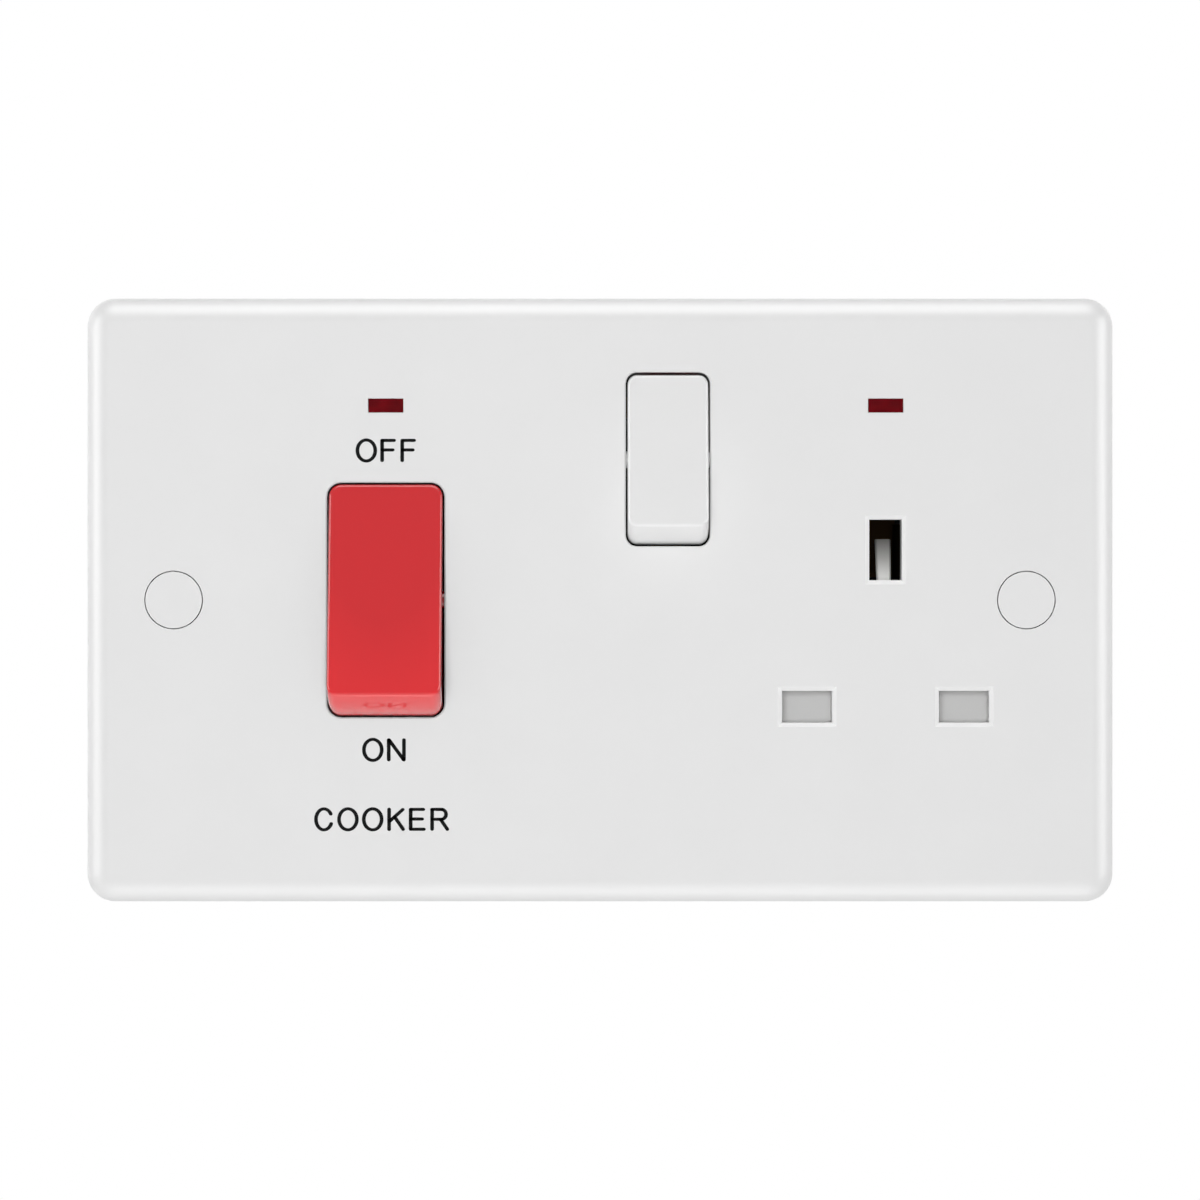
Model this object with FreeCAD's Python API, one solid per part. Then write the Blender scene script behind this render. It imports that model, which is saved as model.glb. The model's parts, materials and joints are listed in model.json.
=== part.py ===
# Cooker control unit: a double-gang wall plate with a red double-pole cooker switch on the left
# and a switched, shuttered, three-pin socket outlet on the right, each with a red neon indicator.
#
# Frame, in millimetres: X to the right and Z up as seen by someone facing the wall, Y into the
# wall. The origin is the centre of the plate on the wall plane, so the front face is at negative Y.
import FreeCAD
import Part

import math
import os

from FreeCAD import Vector

# Front plate
PLATE_WIDTH = 146.0
PLATE_HEIGHT = 86.0
PLATE_PROJECTION = 9.5  # wall plane to front face
PLATE_CORNER_RADIUS = 4.2  # corners of the outline
PLATE_EDGE_RADIUS = 3.4  # round between front face and side
PLATE_DRAFT = 0.3  # the front outline is this much smaller on each side
PLATE_SKIN = 3.0  # thickness of the front wall
PLATE_RIM = 2.4  # thickness of the side wall
OPENING_CHAMFER = 0.2  # on the front edge of the switch openings

# Plate fixings and their covers
FIXING_CENTRES = 120.6
FIXING_SHANK_RADIUS = 1.55
FIXING_THREAD_RADIUS = 1.75
FIXING_THREAD_LENGTH = 19.0  # stands out behind the wall plane
FIXING_HEAD_RADIUS = 3.4
FIXING_HEAD_CLEARANCE = 0.2
FIXING_SLOT_WIDTH = 0.9
FIXING_SLOT_DEPTH = 0.8
FIXING_HOLE_CLEARANCE = 0.3  # round the thread
FIXING_BOSS_WALL = 1.6  # round the cap's recess
CAP_RADIUS = 4.0
CAP_GAP = 0.15
CAP_THICKNESS = 1.5
CAP_SKIRT_WALL = 0.8
CAP_SEAT_GAP = 0.1  # skirt to screw head

# Rockers: both turn on trunnions just behind the front face
COOKER_X = -30.3
COOKER_Z = 0.0
COOKER_OPENING_WIDTH = 16.6
COOKER_OPENING_HEIGHT = 33.2
COOKER_OPENING_CORNER = 2.0
COOKER_END_GAP = 0.15
COOKER_POLE_SPACING = 8.4
SWITCH_X = 9.6
SWITCH_Z = 19.9
SWITCH_OPENING_WIDTH = 11.9
SWITCH_OPENING_HEIGHT = 24.6
SWITCH_OPENING_CORNER = 1.6
SWITCH_END_GAP = 0.25
ROCKER_GAP = 0.25  # at the sides
ROCKER_TILT = 14.0  # degrees either side of the middle
ROCKER_WALL = 1.8
ROCKER_EDGE_RADIUS = 0.5
ROCKER_SKIRT = 3.4  # how far the skirt reaches behind the pivot
PIVOT_DEPTH = 2.2  # pivot axis behind the front face
TRUNNION_RADIUS = 1.2
TRUNNION_LENGTH = 2.0
PIVOT_CLEARANCE = 0.06
RETAINER_GAP = 0.1  # trunnion to the post that keeps it in its groove
WELL_WALL = 2.0  # moulded wall round each switch opening, behind the plate

# Spring plungers carried by the rockers
PLUNGER_RADIUS = 1.55
PLUNGER_CLEARANCE = 0.05
PLUNGER_LENGTH = 9.4
PLUNGER_REACH = 11.5  # pivot axis to plunger tip
PLUNGER_BOSS_WALL = 1.1
PLUNGER_BOSS_REACH = 6.0  # pivot axis to the mouth of the bore
SPRING_WIRE = 0.4
SPRING_TURNS = 5
SPRING_FACETS = 12  # straight pieces in each turn

# Rocking contact arms and the strips that they switch
ARM_TILT = 7.0  # degrees either side of the middle
ARM_DISH = 10.0  # each wing of the arm is bent forward by this many degrees
ARM_THICKNESS = 1.2
ARM_BEAD_RADIUS = 1.0
ARM_CLEARANCE = 0.2  # plunger tip to arm, in the middle of the travel
ARM_LOWER_REACH = 6.0
ARM_TIP_MARGIN = 1.8  # arm past the centre of its contact
CONTACT_RADIUS = 1.6
CONTACT_HEIGHT = 0.8
CONTACT_GAP_CLOSED = 0.1
COOKER_ARM_WIDTH = 5.0
COOKER_CONTACT_REACH = 10.8
SWITCH_ARM_WIDTH = 4.4
SWITCH_CONTACT_REACH = 8.0
STRIP_THICKNESS = 1.5
STRIP_CLEARANCE = 0.15
POST_THICKNESS = 1.6
POST_DEPTH = 0.5  # top of the pivot post behind the arm's axis

# Rear mouldings
BASE_FRONT_GAP = 6.5  # front face to the mouldings' front face
BASE_FLOOR_DEPTH = 19.5  # front face to the floor that the strips lie on
BASE_FLOOR_THICKNESS = 3.0
BASE_WALL = 1.5
BASE_CORNER_RADIUS = 1.5
CAVITY_CLEARANCE = 0.5  # round a moving rocker
TOWER_DEPTH = 31.5  # front face to the back of the terminal towers
EAR_RADIUS = 3.5
EAR_THICKNESS = 4.0
BASE_SCREW_RADIUS = 1.3
BASE_SCREW_CLEARANCE = 0.05
BASE_SCREW_HEAD_RADIUS = 2.7
BASE_SCREW_HEAD_HEIGHT = 1.7
BASE_SCREW_BITE = 3.6  # length in the plate's boss
BASE_BOSS_WALL = 1.9

# Cable terminals
TERMINAL_WIDTH = 9.6
TERMINAL_DEPTH = 9.0
TERMINAL_HEIGHT = 10.4
TERMINAL_BORE_RADIUS = 3.0
TERMINAL_BORE_SHIFT = 0.4  # bore centre towards the front of the block
TERMINAL_SEAT_CLEARANCE = 0.1
TERMINAL_SCREW_RADIUS = 2.0
TERMINAL_SCREW_CLEARANCE = 0.05
TERMINAL_HEAD_RADIUS = 2.9
TERMINAL_HEAD_HEIGHT = 2.0
TERMINAL_SLOT_WIDTH = 0.9
TERMINAL_SLOT_DEPTH = 0.9
ACCESS_CLEARANCE = 0.4  # round a screw head and round a cable entry
COOKER_TERMINAL_SPACING = 24.0
COOKER_TERMINAL_Z = 24.4

# Socket outlet
OUTLET_X = 40.4
OUTLET_PIN_Z = -15.1  # line and neutral
PIN_SPACING = 22.2
EARTH_RISE = 22.2  # earth pin above the other two
PIN_SLOT_WIDTH = 7.1
PIN_SLOT_HEIGHT = 4.5
EARTH_SLOT_WIDTH = 4.6
EARTH_SLOT_HEIGHT = 8.6
SLOT_BEVEL = 0.6
SLOT_BEVEL_DEPTH = 0.45
SLOT_DEPTH = 4.5  # front face to the back of the pad that the shutter slides on

# Shutter behind the slots
SHUTTER_GAP = 0.1
SHUTTER_THICKNESS = 1.5
SHUTTER_TRAVEL = 5.6
SHUTTER_OVERLAP = 0.6  # blade beyond the slot on each side
SHUTTER_STEM_WIDTH = 4.4
SHUTTER_RAMP_WIDTH = 2.0  # at its foot
SHUTTER_RAMP_FLARE = 0.12  # wider by this on each side at its crest
SHUTTER_RAMP_BEVEL = 0.25  # along its front edges
SHUTTER_RAMP_CORNER = 0.2  # round upper corners
SHUTTER_RAMP_RISE = 6.2
SHUTTER_RAMP_DEPTH = 3.0
SHUTTER_RAMP_START = 0.3  # foot of the ramp below the bottom of the earth slot
SHUTTER_LUG_WIDTH = 3.0
SHUTTER_LUG_HEIGHT = 1.6
SHUTTER_LUG_REACH = 2.6
SHUTTER_GUIDE_WALL = 1.2
SHUTTER_GUIDE_LENGTH = 4.2
SHUTTER_SPRING_RADIUS = 1.3  # middle of the wire
SHUTTER_SPRING_LENGTH = 10.6

# Socket contacts, folded from sheet
LEAF_THICKNESS = 0.8
PIN_LEAF_WIDTH = 6.0
PIN_LEAF_PINCH = 1.75  # half the gap at the waist
PIN_LEAF_MOUTH = 2.9  # half the gap at the flared mouth
PIN_LEAF_ROOT = 2.6
EARTH_LEAF_WIDTH = 7.6
EARTH_PIN_LENGTH = 22.8
CONTACT_ROOM = 0.9  # round the leaves of a contact

# Busbars between the two halves
BUSBAR_WIDTH = 3.0
NEUTRAL_BUSBAR_DEPTH = 13.5  # front face to the neutral busbar
NEUTRAL_BUSBAR_X = -4.7
NEUTRAL_BUSBAR_Z = 20.6

# Neon indicators
NEON_Z = 27.5
NEON_WIDTH = 4.9
NEON_HEIGHT = 1.9
NEON_LENS_RECESS = 0.1
NEON_LENS_CLEARANCE = 0.05
NEON_FLANGE = 1.0
NEON_FLANGE_THICKNESS = 1.1
NEON_LAMP_RADIUS = 1.9
NEON_LAMP_LENGTH = 8.0
NEON_LAMP_GAP = 0.2
NEON_RIB_WALL = 1.0
NEON_RIB_HEIGHT = 3.2
NEON_LEAD_RADIUS = 0.3
NEON_LEAD_GAP = 1.5
RESISTOR_RADIUS = 1.1
RESISTOR_LENGTH = 5.0

# Outlines of the rear mouldings, and where they are screwed to the plate
COOKER_BASE_HALF_WIDTH = 18.0
COOKER_BASE_HALF_HEIGHT = 32.0
COOKER_EAR_X = 20.8  # from the middle of the moulding
COOKER_EAR_Z = 14.0
OUTLET_BASE_LEFT = 0.0
OUTLET_BASE_RIGHT = 56.4
OUTLET_BASE_BOTTOM = -32.0
OUTLET_BASE_TOP = 31.8
SWITCH_BASE_TOP = 35.0  # taller part behind the socket's own switch
OUTLET_SCREWS = ((22.6, 13.0), (22.6, -27.6), (51.0, 18.6), (51.0, -27.6))
EARTH_TERMINAL_Z = 24.6

# Levels along Y that several pieces share
WALL_Y = 0.0
FRONT_Y = -PLATE_PROJECTION
SKIN_Y = FRONT_Y + PLATE_SKIN
PIVOT_Y = FRONT_Y + PIVOT_DEPTH
PAD_Y = FRONT_Y + SLOT_DEPTH
BASE_Y = FRONT_Y + BASE_FRONT_GAP
FLOOR_Y = FRONT_Y + BASE_FLOOR_DEPTH
STRIP_Y = FLOOR_Y - STRIP_THICKNESS
BASE_BACK_Y = FLOOR_Y + BASE_FLOOR_THICKNESS
TOWER_Y = FRONT_Y + TOWER_DEPTH
TERMINAL_BACK_Y = FLOOR_Y + TERMINAL_DEPTH
TERMINAL_BORE_Y = FLOOR_Y + TERMINAL_DEPTH / 2 - TERMINAL_BORE_SHIFT
ARM_AXIS_Y = PIVOT_Y + PLUNGER_REACH + ARM_CLEARANCE + ARM_BEAD_RADIUS
CAP_RECESS_RADIUS = CAP_RADIUS + CAP_GAP
EARTH_Z = OUTLET_PIN_Z + EARTH_RISE
EARTH_FLOOR_Y = FRONT_Y + EARTH_PIN_LENGTH + LEAF_THICKNESS
NEUTRAL_X = OUTLET_X - PIN_SPACING / 2
LINE_X = OUTLET_X + PIN_SPACING / 2
BLADE_HALF_HEIGHT = PIN_SLOT_HEIGHT / 2 + SHUTTER_OVERLAP
OVERCUT = 1.0  # how far a cutting tool runs past the face that it opens


def block(x, y, z):
    """Box between pairs of limits along each axis."""
    x0, x1 = sorted(x)
    y0, y1 = sorted(y)
    z0, z1 = sorted(z)
    return Part.makeBox(x1 - x0, y1 - y0, z1 - z0, Vector(x0, y0, z0))


def around(middle, half):
    """Limits at an equal distance either side of a middle."""
    return (middle - half, middle + half)


def rod(radius, start, end):
    """Round bar between two points."""
    axis = end - start
    return Part.makeCylinder(radius, axis.Length, start, axis)


def rod_y(radius, x, z, y):
    """Round bar along Y between two limits."""
    return rod(radius, Vector(x, y[0], z), Vector(x, y[1], z))


def fuse(first, *others):
    """One solid from several that meet."""
    return first.multiFuse(list(others)).removeSplitter()


def rounded_outline(x, z, width, height, radius, y):
    """Closed wire of a rectangle with round corners, in a plane across Y."""
    right, top = x + width / 2, z + height / 2
    left, bottom = x - width / 2, z - height / 2
    bow = radius * (1 - math.sqrt(0.5))
    edges = [
        Part.LineSegment(Vector(left + radius, y, bottom), Vector(right - radius, y, bottom)),
        Part.Arc(Vector(right - radius, y, bottom), Vector(right - bow, y, bottom + bow),
                 Vector(right, y, bottom + radius)),
        Part.LineSegment(Vector(right, y, bottom + radius), Vector(right, y, top - radius)),
        Part.Arc(Vector(right, y, top - radius), Vector(right - bow, y, top - bow),
                 Vector(right - radius, y, top)),
        Part.LineSegment(Vector(right - radius, y, top), Vector(left + radius, y, top)),
        Part.Arc(Vector(left + radius, y, top), Vector(left + bow, y, top - bow),
                 Vector(left, y, top - radius)),
        Part.LineSegment(Vector(left, y, top - radius), Vector(left, y, bottom + radius)),
        Part.Arc(Vector(left, y, bottom + radius), Vector(left + bow, y, bottom + bow),
                 Vector(left + radius, y, bottom)),
    ]
    return Part.Wire([edge.toShape() for edge in edges])


def rounded_block(x, z, width, height, radius, y):
    """Prism along Y with a round-cornered outline."""
    face = Part.Face(rounded_outline(x, z, width, height, radius, y[0]))
    return face.extrude(Vector(0, y[1] - y[0], 0))


def plate_yz(points, x):
    """Prism along X from the corners of a shape given as (y, z) pairs."""
    corners = [Vector(x[0], y, z) for y, z in points]
    face = Part.Face(Part.makePolygon(corners + corners[:1]))
    return face.extrude(Vector(x[1] - x[0], 0, 0))


def folded_sheet(points, thickness, run):
    """Sheet folded along a line of points, thickened to the right of the line and extruded by run."""
    line = Part.makePolygon(points)
    return line.makeOffset2D(-thickness, 2, True, True).extrude(run)


def coil_spring(radius, wire, length, turns, start, direction):
    """Square-wire compression spring that runs from start along direction."""
    half = wire / 2
    steps = turns * SPRING_FACETS
    sections = []
    for step in range(steps + 1):
        turn = FreeCAD.Rotation(Vector(0, 0, 1), 360.0 * step / SPRING_FACETS)
        rise = half + (length - wire) * step / steps
        corners = [Vector(radius + dx, 0, rise + dz) for dx, dz in
                   ((-half, -half), (half, -half), (half, half), (-half, half), (-half, -half))]
        sections.append(Part.makePolygon([turn.multVec(corner) for corner in corners]))
    coil = Part.makeLoft(sections, True, True)
    coil.Placement = FreeCAD.Placement(start, FreeCAD.Rotation(Vector(0, 0, 1), direction))
    return coil


class Switch:
    """Sizes of one rocker switch, worked out from its opening in the plate."""

    def __init__(self, x, z, width, height, corner, end_gap, poles, arm_width, contact_reach):
        self.x, self.z = x, z
        self.width, self.height, self.corner = width, height, corner
        self.poles = poles
        self.arm_width, self.contact_reach = arm_width, contact_reach
        self.half_width = width / 2 - ROCKER_GAP
        self.end_radius = height / 2 - end_gap
        # At rest the pressed end of the face is level with the plate, which sets the face's place.
        rise = math.radians(ROCKER_TILT) + math.asin(PIVOT_DEPTH / self.end_radius)
        self.face = self.end_radius * math.sin(rise)
        self.groove = width / 2 + TRUNNION_LENGTH - ROCKER_GAP + PIVOT_CLEARANCE
        self.cavity_half_width = self.half_width + CAVITY_CLEARANCE
        self.cavity_half_height = self.end_radius + CAVITY_CLEARANCE

    def pivot(self):
        return Vector(self.x, PIVOT_Y, self.z)

    def at_rest(self, shape):
        """A piece of the rocker, drawn square about the pivot, in its off position."""
        shape.rotate(Vector(0, 0, 0), Vector(1, 0, 0), -ROCKER_TILT)
        shape.translate(self.pivot())
        return shape

    def pole_x(self):
        return [self.x + offset for offset in self.poles]


COOKER = Switch(COOKER_X, COOKER_Z, COOKER_OPENING_WIDTH, COOKER_OPENING_HEIGHT,
                COOKER_OPENING_CORNER, COOKER_END_GAP, (COOKER_POLE_SPACING / 2, -COOKER_POLE_SPACING / 2),
                COOKER_ARM_WIDTH, COOKER_CONTACT_REACH)
SOCKET = Switch(SWITCH_X, SWITCH_Z, SWITCH_OPENING_WIDTH, SWITCH_OPENING_HEIGHT,
                SWITCH_OPENING_CORNER, SWITCH_END_GAP, (0.0,), SWITCH_ARM_WIDTH, SWITCH_CONTACT_REACH)
SWITCHES = (COOKER, SOCKET)
NEONS = {"cooker": COOKER_X, "outlet": OUTLET_X}
FIXING_X = (-FIXING_CENTRES / 2, FIXING_CENTRES / 2)


# Front plate
def plate_shell():
    """Drafted tray with a rounded front edge, open towards the wall."""
    back = rounded_outline(0, 0, PLATE_WIDTH, PLATE_HEIGHT, PLATE_CORNER_RADIUS, WALL_Y)
    front = rounded_outline(0, 0, PLATE_WIDTH - 2 * PLATE_DRAFT, PLATE_HEIGHT - 2 * PLATE_DRAFT,
                            PLATE_CORNER_RADIUS - PLATE_DRAFT, FRONT_Y)
    shell = Part.makeLoft([back, front], True, True)
    rim = [edge for edge in shell.Edges
           if all(abs(vertex.Y - FRONT_Y) < 1e-6 for vertex in edge.Vertexes)]
    shell = shell.makeFillet(PLATE_EDGE_RADIUS, rim)
    hollow = rounded_block(0, 0, PLATE_WIDTH - 2 * PLATE_RIM, PLATE_HEIGHT - 2 * PLATE_RIM,
                           PLATE_CORNER_RADIUS - PLATE_RIM / 2, (SKIN_Y, WALL_Y + OVERCUT))
    return shell.cut(hollow)


def base_screw_places():
    """Where the two rear mouldings are screwed to the plate."""
    ears = [(COOKER_X + side * COOKER_EAR_X, COOKER_Z + end * COOKER_EAR_Z)
            for side in (-1, 1) for end in (-1, 1)]
    return ears, list(OUTLET_SCREWS)


def plate_bosses():
    """Bosses for the wall fixings and for the rear mouldings' screws."""
    radius = CAP_RECESS_RADIUS + FIXING_BOSS_WALL
    shapes = [rod_y(radius, x, 0, (SKIN_Y, WALL_Y)) for x in FIXING_X]
    small = BASE_SCREW_RADIUS + BASE_SCREW_CLEARANCE + BASE_BOSS_WALL
    ears, outlet = base_screw_places()
    shapes += [rod_y(small, x, z, (SKIN_Y, BASE_Y)) for x, z in ears + outlet]
    return shapes


def switch_well(switch):
    """Wall behind the plate round a switch opening, thick enough at the sides for the trunnions."""
    side = switch.groove + PIVOT_CLEARANCE + WELL_WALL / 2
    return rounded_block(switch.x, switch.z, 2 * side, switch.height + 2 * WELL_WALL,
                         switch.corner, (SKIN_Y, BASE_Y))


def switch_opening(switch):
    """Opening for a rocker, with the grooves that its trunnions drop into from behind."""
    opening = rounded_block(switch.x, switch.z, switch.width, switch.height, switch.corner,
                            (FRONT_Y - OVERCUT, BASE_Y + OVERCUT))
    radius = TRUNNION_RADIUS + PIVOT_CLEARANCE
    span = around(switch.x, switch.groove)
    groove = block(span, (PIVOT_Y, BASE_Y + OVERCUT), around(switch.z, radius))
    seat = rod(radius, Vector(span[0], PIVOT_Y, switch.z), Vector(span[1], PIVOT_Y, switch.z))
    return [opening, groove, seat]


def bevelled_slot(x, z, width, height):
    """Pin slot through plate and pad, with a mitred bevel round its mouth."""
    hole = block(around(x, width / 2), (FRONT_Y - OVERCUT, PAD_Y + OVERCUT), around(z, height / 2))
    rims = []
    for grow, y in ((SLOT_BEVEL, FRONT_Y), (0, FRONT_Y + SLOT_BEVEL_DEPTH)):
        right, top = width / 2 + grow, height / 2 + grow
        corners = [Vector(x + sx * right, y, z + sz * top)
                   for sx, sz in ((-1, -1), (1, -1), (1, 1), (-1, 1), (-1, -1))]
        rims.append(Part.makePolygon(corners))
    return [hole, Part.makeLoft(rims, True, True)]


def outlet_pad():
    """Thicker part of the plate behind the pin slots, which the shutter slides on."""
    right = LINE_X + PIN_SLOT_WIDTH / 2 + 2 * SHUTTER_OVERLAP
    left = NEUTRAL_X - PIN_SLOT_WIDTH / 2 - 2 * SHUTTER_OVERLAP
    bottom = OUTLET_PIN_Z - BLADE_HALF_HEIGHT - SHUTTER_TRAVEL - SHUTTER_GAP
    top = EARTH_Z + EARTH_SLOT_HEIGHT / 2 + BASE_WALL
    return block((left, right), (SKIN_Y, PAD_Y), (bottom, top))


def neon_ribs(x):
    """Two ribs behind the plate that hold a neon lamp and its resistor."""
    span = (x - NEON_LAMP_LENGTH / 2, x + NEON_LAMP_LENGTH / 2 + NEON_LEAD_GAP + RESISTOR_LENGTH)
    inner = NEON_LAMP_RADIUS + NEON_LAMP_GAP
    return [block(span, (SKIN_Y, SKIN_Y + NEON_RIB_HEIGHT),
                  (NEON_Z + side * inner, NEON_Z + side * (inner + NEON_RIB_WALL)))
            for side in (-1, 1)]


def fixing_hole(x):
    """Cap recess, countersink and clearance hole for one wall fixing."""
    hole = FIXING_THREAD_RADIUS + FIXING_HOLE_CLEARANCE
    mouth = FIXING_HEAD_RADIUS + FIXING_HEAD_CLEARANCE
    recess = rod_y(CAP_RECESS_RADIUS, x, 0, (FRONT_Y - OVERCUT, SKIN_Y))
    sink = Part.makeCone(mouth, hole, mouth - hole, Vector(x, SKIN_Y, 0), Vector(0, 1, 0))
    return [recess, sink, rod_y(hole, x, 0, (SKIN_Y, WALL_Y + OVERCUT))]


def neon_window(x):
    width, height = (size + 2 * NEON_LENS_CLEARANCE for size in (NEON_WIDTH, NEON_HEIGHT))
    return block(around(x, width / 2), (FRONT_Y - OVERCUT, SKIN_Y + OVERCUT),
                 around(NEON_Z, height / 2))


def opening_edges(shape, switch):
    """Edges of a switch opening on the front face."""
    right, top = switch.width / 2 + 1e-3, switch.height / 2 + 1e-3
    return [edge for edge in shape.Edges
            if all(abs(vertex.Y - FRONT_Y) < 1e-6 and abs(vertex.X - switch.x) < right
                   and abs(vertex.Z - switch.z) < top for vertex in edge.Vertexes)]


def front_plate():
    plate = plate_shell()
    added = plate_bosses() + [switch_well(switch) for switch in SWITCHES] + [outlet_pad()]
    removed = []
    for x in NEONS.values():
        added += neon_ribs(x)
        removed.append(neon_window(x))
    for switch in SWITCHES:
        removed += switch_opening(switch)
    for x in (NEUTRAL_X, LINE_X):
        removed += bevelled_slot(x, OUTLET_PIN_Z, PIN_SLOT_WIDTH, PIN_SLOT_HEIGHT)
    removed += bevelled_slot(OUTLET_X, EARTH_Z, EARTH_SLOT_WIDTH, EARTH_SLOT_HEIGHT)
    for x in FIXING_X:
        removed += fixing_hole(x)
    ears, outlet = base_screw_places()
    for x, z in ears + outlet:
        removed.append(rod_y(BASE_SCREW_RADIUS + BASE_SCREW_CLEARANCE, x, z,
                             (BASE_Y - BASE_SCREW_BITE - BASE_SCREW_CLEARANCE, BASE_Y + OVERCUT)))
    plate = fuse(plate, *added).cut(removed)
    rims = [edge for switch in SWITCHES for edge in opening_edges(plate, switch)]
    return plate.makeChamfer(OPENING_CHAMFER, rims)


# Wall fixings and caps
def fixing_screw(x):
    """Countersunk machine screw; its thread stands out behind the wall plane."""
    head_y = SKIN_Y + CAP_SEAT_GAP
    cone = FIXING_HEAD_RADIUS - FIXING_SHANK_RADIUS
    head = Part.makeCone(FIXING_HEAD_RADIUS, FIXING_SHANK_RADIUS, cone, Vector(x, head_y, 0),
                         Vector(0, 1, 0))
    shank = rod_y(FIXING_SHANK_RADIUS, x, 0, (head_y + cone / 2, WALL_Y))
    thread = rod_y(FIXING_THREAD_RADIUS, x, 0, (WALL_Y, WALL_Y + FIXING_THREAD_LENGTH))
    slot = block(around(x, FIXING_HEAD_RADIUS), (head_y - OVERCUT, head_y + FIXING_SLOT_DEPTH),
                 around(0, FIXING_SLOT_WIDTH / 2))
    return fuse(head, shank, thread).cut(slot)


def fixing_screws():
    return Part.makeCompound([fixing_screw(x) for x in FIXING_X])


def screw_cap(x):
    """Flush round cap with a skirt that stands on the screw head."""
    disc = rod_y(CAP_RADIUS, x, 0, (FRONT_Y, SKIN_Y - CAP_SEAT_GAP))
    hollow = rod_y(CAP_RADIUS - CAP_SKIRT_WALL, x, 0, (FRONT_Y + CAP_THICKNESS, SKIN_Y))
    return disc.cut(hollow)


# Rockers and what they carry
def rocker_profile(switch, inset, back):
    """Side view of a rocker about its pivot: flat face, and ends round the pivot axis."""
    radius = switch.end_radius - inset
    face = switch.face - inset
    half = math.sqrt(radius ** 2 - face ** 2)
    foot = math.sqrt(radius ** 2 - back ** 2)
    edges = [
        Part.LineSegment(Vector(0, -face, half), Vector(0, -face, -half)),
        Part.Arc(Vector(0, -face, -half), Vector(0, 0, -radius), Vector(0, back, -foot)),
        Part.LineSegment(Vector(0, back, -foot), Vector(0, back, foot)),
        Part.Arc(Vector(0, back, foot), Vector(0, 0, radius), Vector(0, -face, half)),
    ]
    return Part.Face(Part.Wire([edge.toShape() for edge in edges]))


def rocker_shell(switch):
    """Moulded rocker, open at the back, with rounded corners and a softened rim to its face."""
    half = switch.half_width
    body = rocker_profile(switch, 0, ROCKER_SKIRT).extrude(Vector(2 * half, 0, 0))
    body.translate(Vector(-half, 0, 0))
    ends = [edge for edge in body.Edges
            if edge.Curve.TypeId == "Part::GeomCircle" and abs(edge.Curve.Axis.x) > 0.99]
    body = body.makeFillet(switch.corner - ROCKER_GAP, ends)
    rim = [edge for edge in body.Edges
           if all(abs(vertex.Y + switch.face) < 1e-6 for vertex in edge.Vertexes)]
    body = body.makeFillet(ROCKER_EDGE_RADIUS, rim)
    inner = half - ROCKER_WALL
    hollow = rocker_profile(switch, ROCKER_WALL, ROCKER_SKIRT + OVERCUT)
    hollow = hollow.extrude(Vector(2 * inner, 0, 0))
    hollow.translate(Vector(-inner, 0, 0))
    return body.cut(hollow)


def rocker(switch):
    """Rocker with trunnions and a boss and bore for each plunger, in its off position."""
    body = rocker_shell(switch)
    inside = ROCKER_WALL / 2 - switch.face
    bore = PLUNGER_RADIUS + PLUNGER_CLEARANCE
    added = []
    for side in (-1, 1):
        root = side * (switch.half_width - ROCKER_WALL)
        tip = side * (switch.half_width + TRUNNION_LENGTH)
        added.append(rod(TRUNNION_RADIUS, Vector(root, 0, 0), Vector(tip, 0, 0)))
    bores = []
    for x in switch.poles:
        added.append(rod_y(bore + PLUNGER_BOSS_WALL, x, 0, (inside, PLUNGER_BOSS_REACH)))
        bores.append(rod_y(bore, x, 0, (ROCKER_WALL - switch.face, PLUNGER_BOSS_REACH + OVERCUT)))
    return switch.at_rest(fuse(body, *added).cut(bores))


def plunger(switch, offset):
    """Round-nosed plunger that a spring pushes out of the rocker's bore."""
    tail = PLUNGER_REACH - PLUNGER_LENGTH
    nose = PLUNGER_REACH - PLUNGER_RADIUS
    shape = fuse(rod_y(PLUNGER_RADIUS, offset, 0, (tail, nose)),
                 Part.makeSphere(PLUNGER_RADIUS, Vector(offset, nose, 0)))
    return switch.at_rest(shape)


def plunger_spring(switch, offset):
    """Compression spring between the end of the bore and the plunger's tail."""
    start = ROCKER_WALL - switch.face
    end = PLUNGER_REACH - PLUNGER_LENGTH
    radius = PLUNGER_RADIUS - SPRING_WIRE
    spring = coil_spring(radius, SPRING_WIRE, end - start, SPRING_TURNS, Vector(offset, start, 0),
                         Vector(0, 1, 0))
    return switch.at_rest(spring)


def contact_arm(switch, x):
    """Dished arm that rocks on a bead across its middle, with a contact stud at its upper end."""
    slope = math.tan(math.radians(ARM_DISH))
    upper = switch.contact_reach + ARM_TIP_MARGIN
    front = [(-ARM_BEAD_RADIUS - ARM_LOWER_REACH * slope, -ARM_LOWER_REACH), (-ARM_BEAD_RADIUS, 0.0),
             (-ARM_BEAD_RADIUS - upper * slope, upper)]
    back = [(y + ARM_THICKNESS, z) for y, z in reversed(front)]
    across = around(x, switch.arm_width / 2)
    blade = plate_yz(front + back, across)
    bead = rod(ARM_BEAD_RADIUS, Vector(across[0], 0, 0), Vector(across[1], 0, 0))
    root = ARM_THICKNESS - ARM_BEAD_RADIUS - switch.contact_reach * slope
    stud = rod_y(CONTACT_RADIUS, x, switch.contact_reach, (root - ARM_THICKNESS / 2,
                                                           root + CONTACT_HEIGHT))
    arm = fuse(blade, bead, stud)
    arm.rotate(Vector(0, 0, 0), Vector(1, 0, 0), ARM_TILT)
    arm.translate(Vector(0, ARM_AXIS_Y, switch.z))
    return arm


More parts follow.
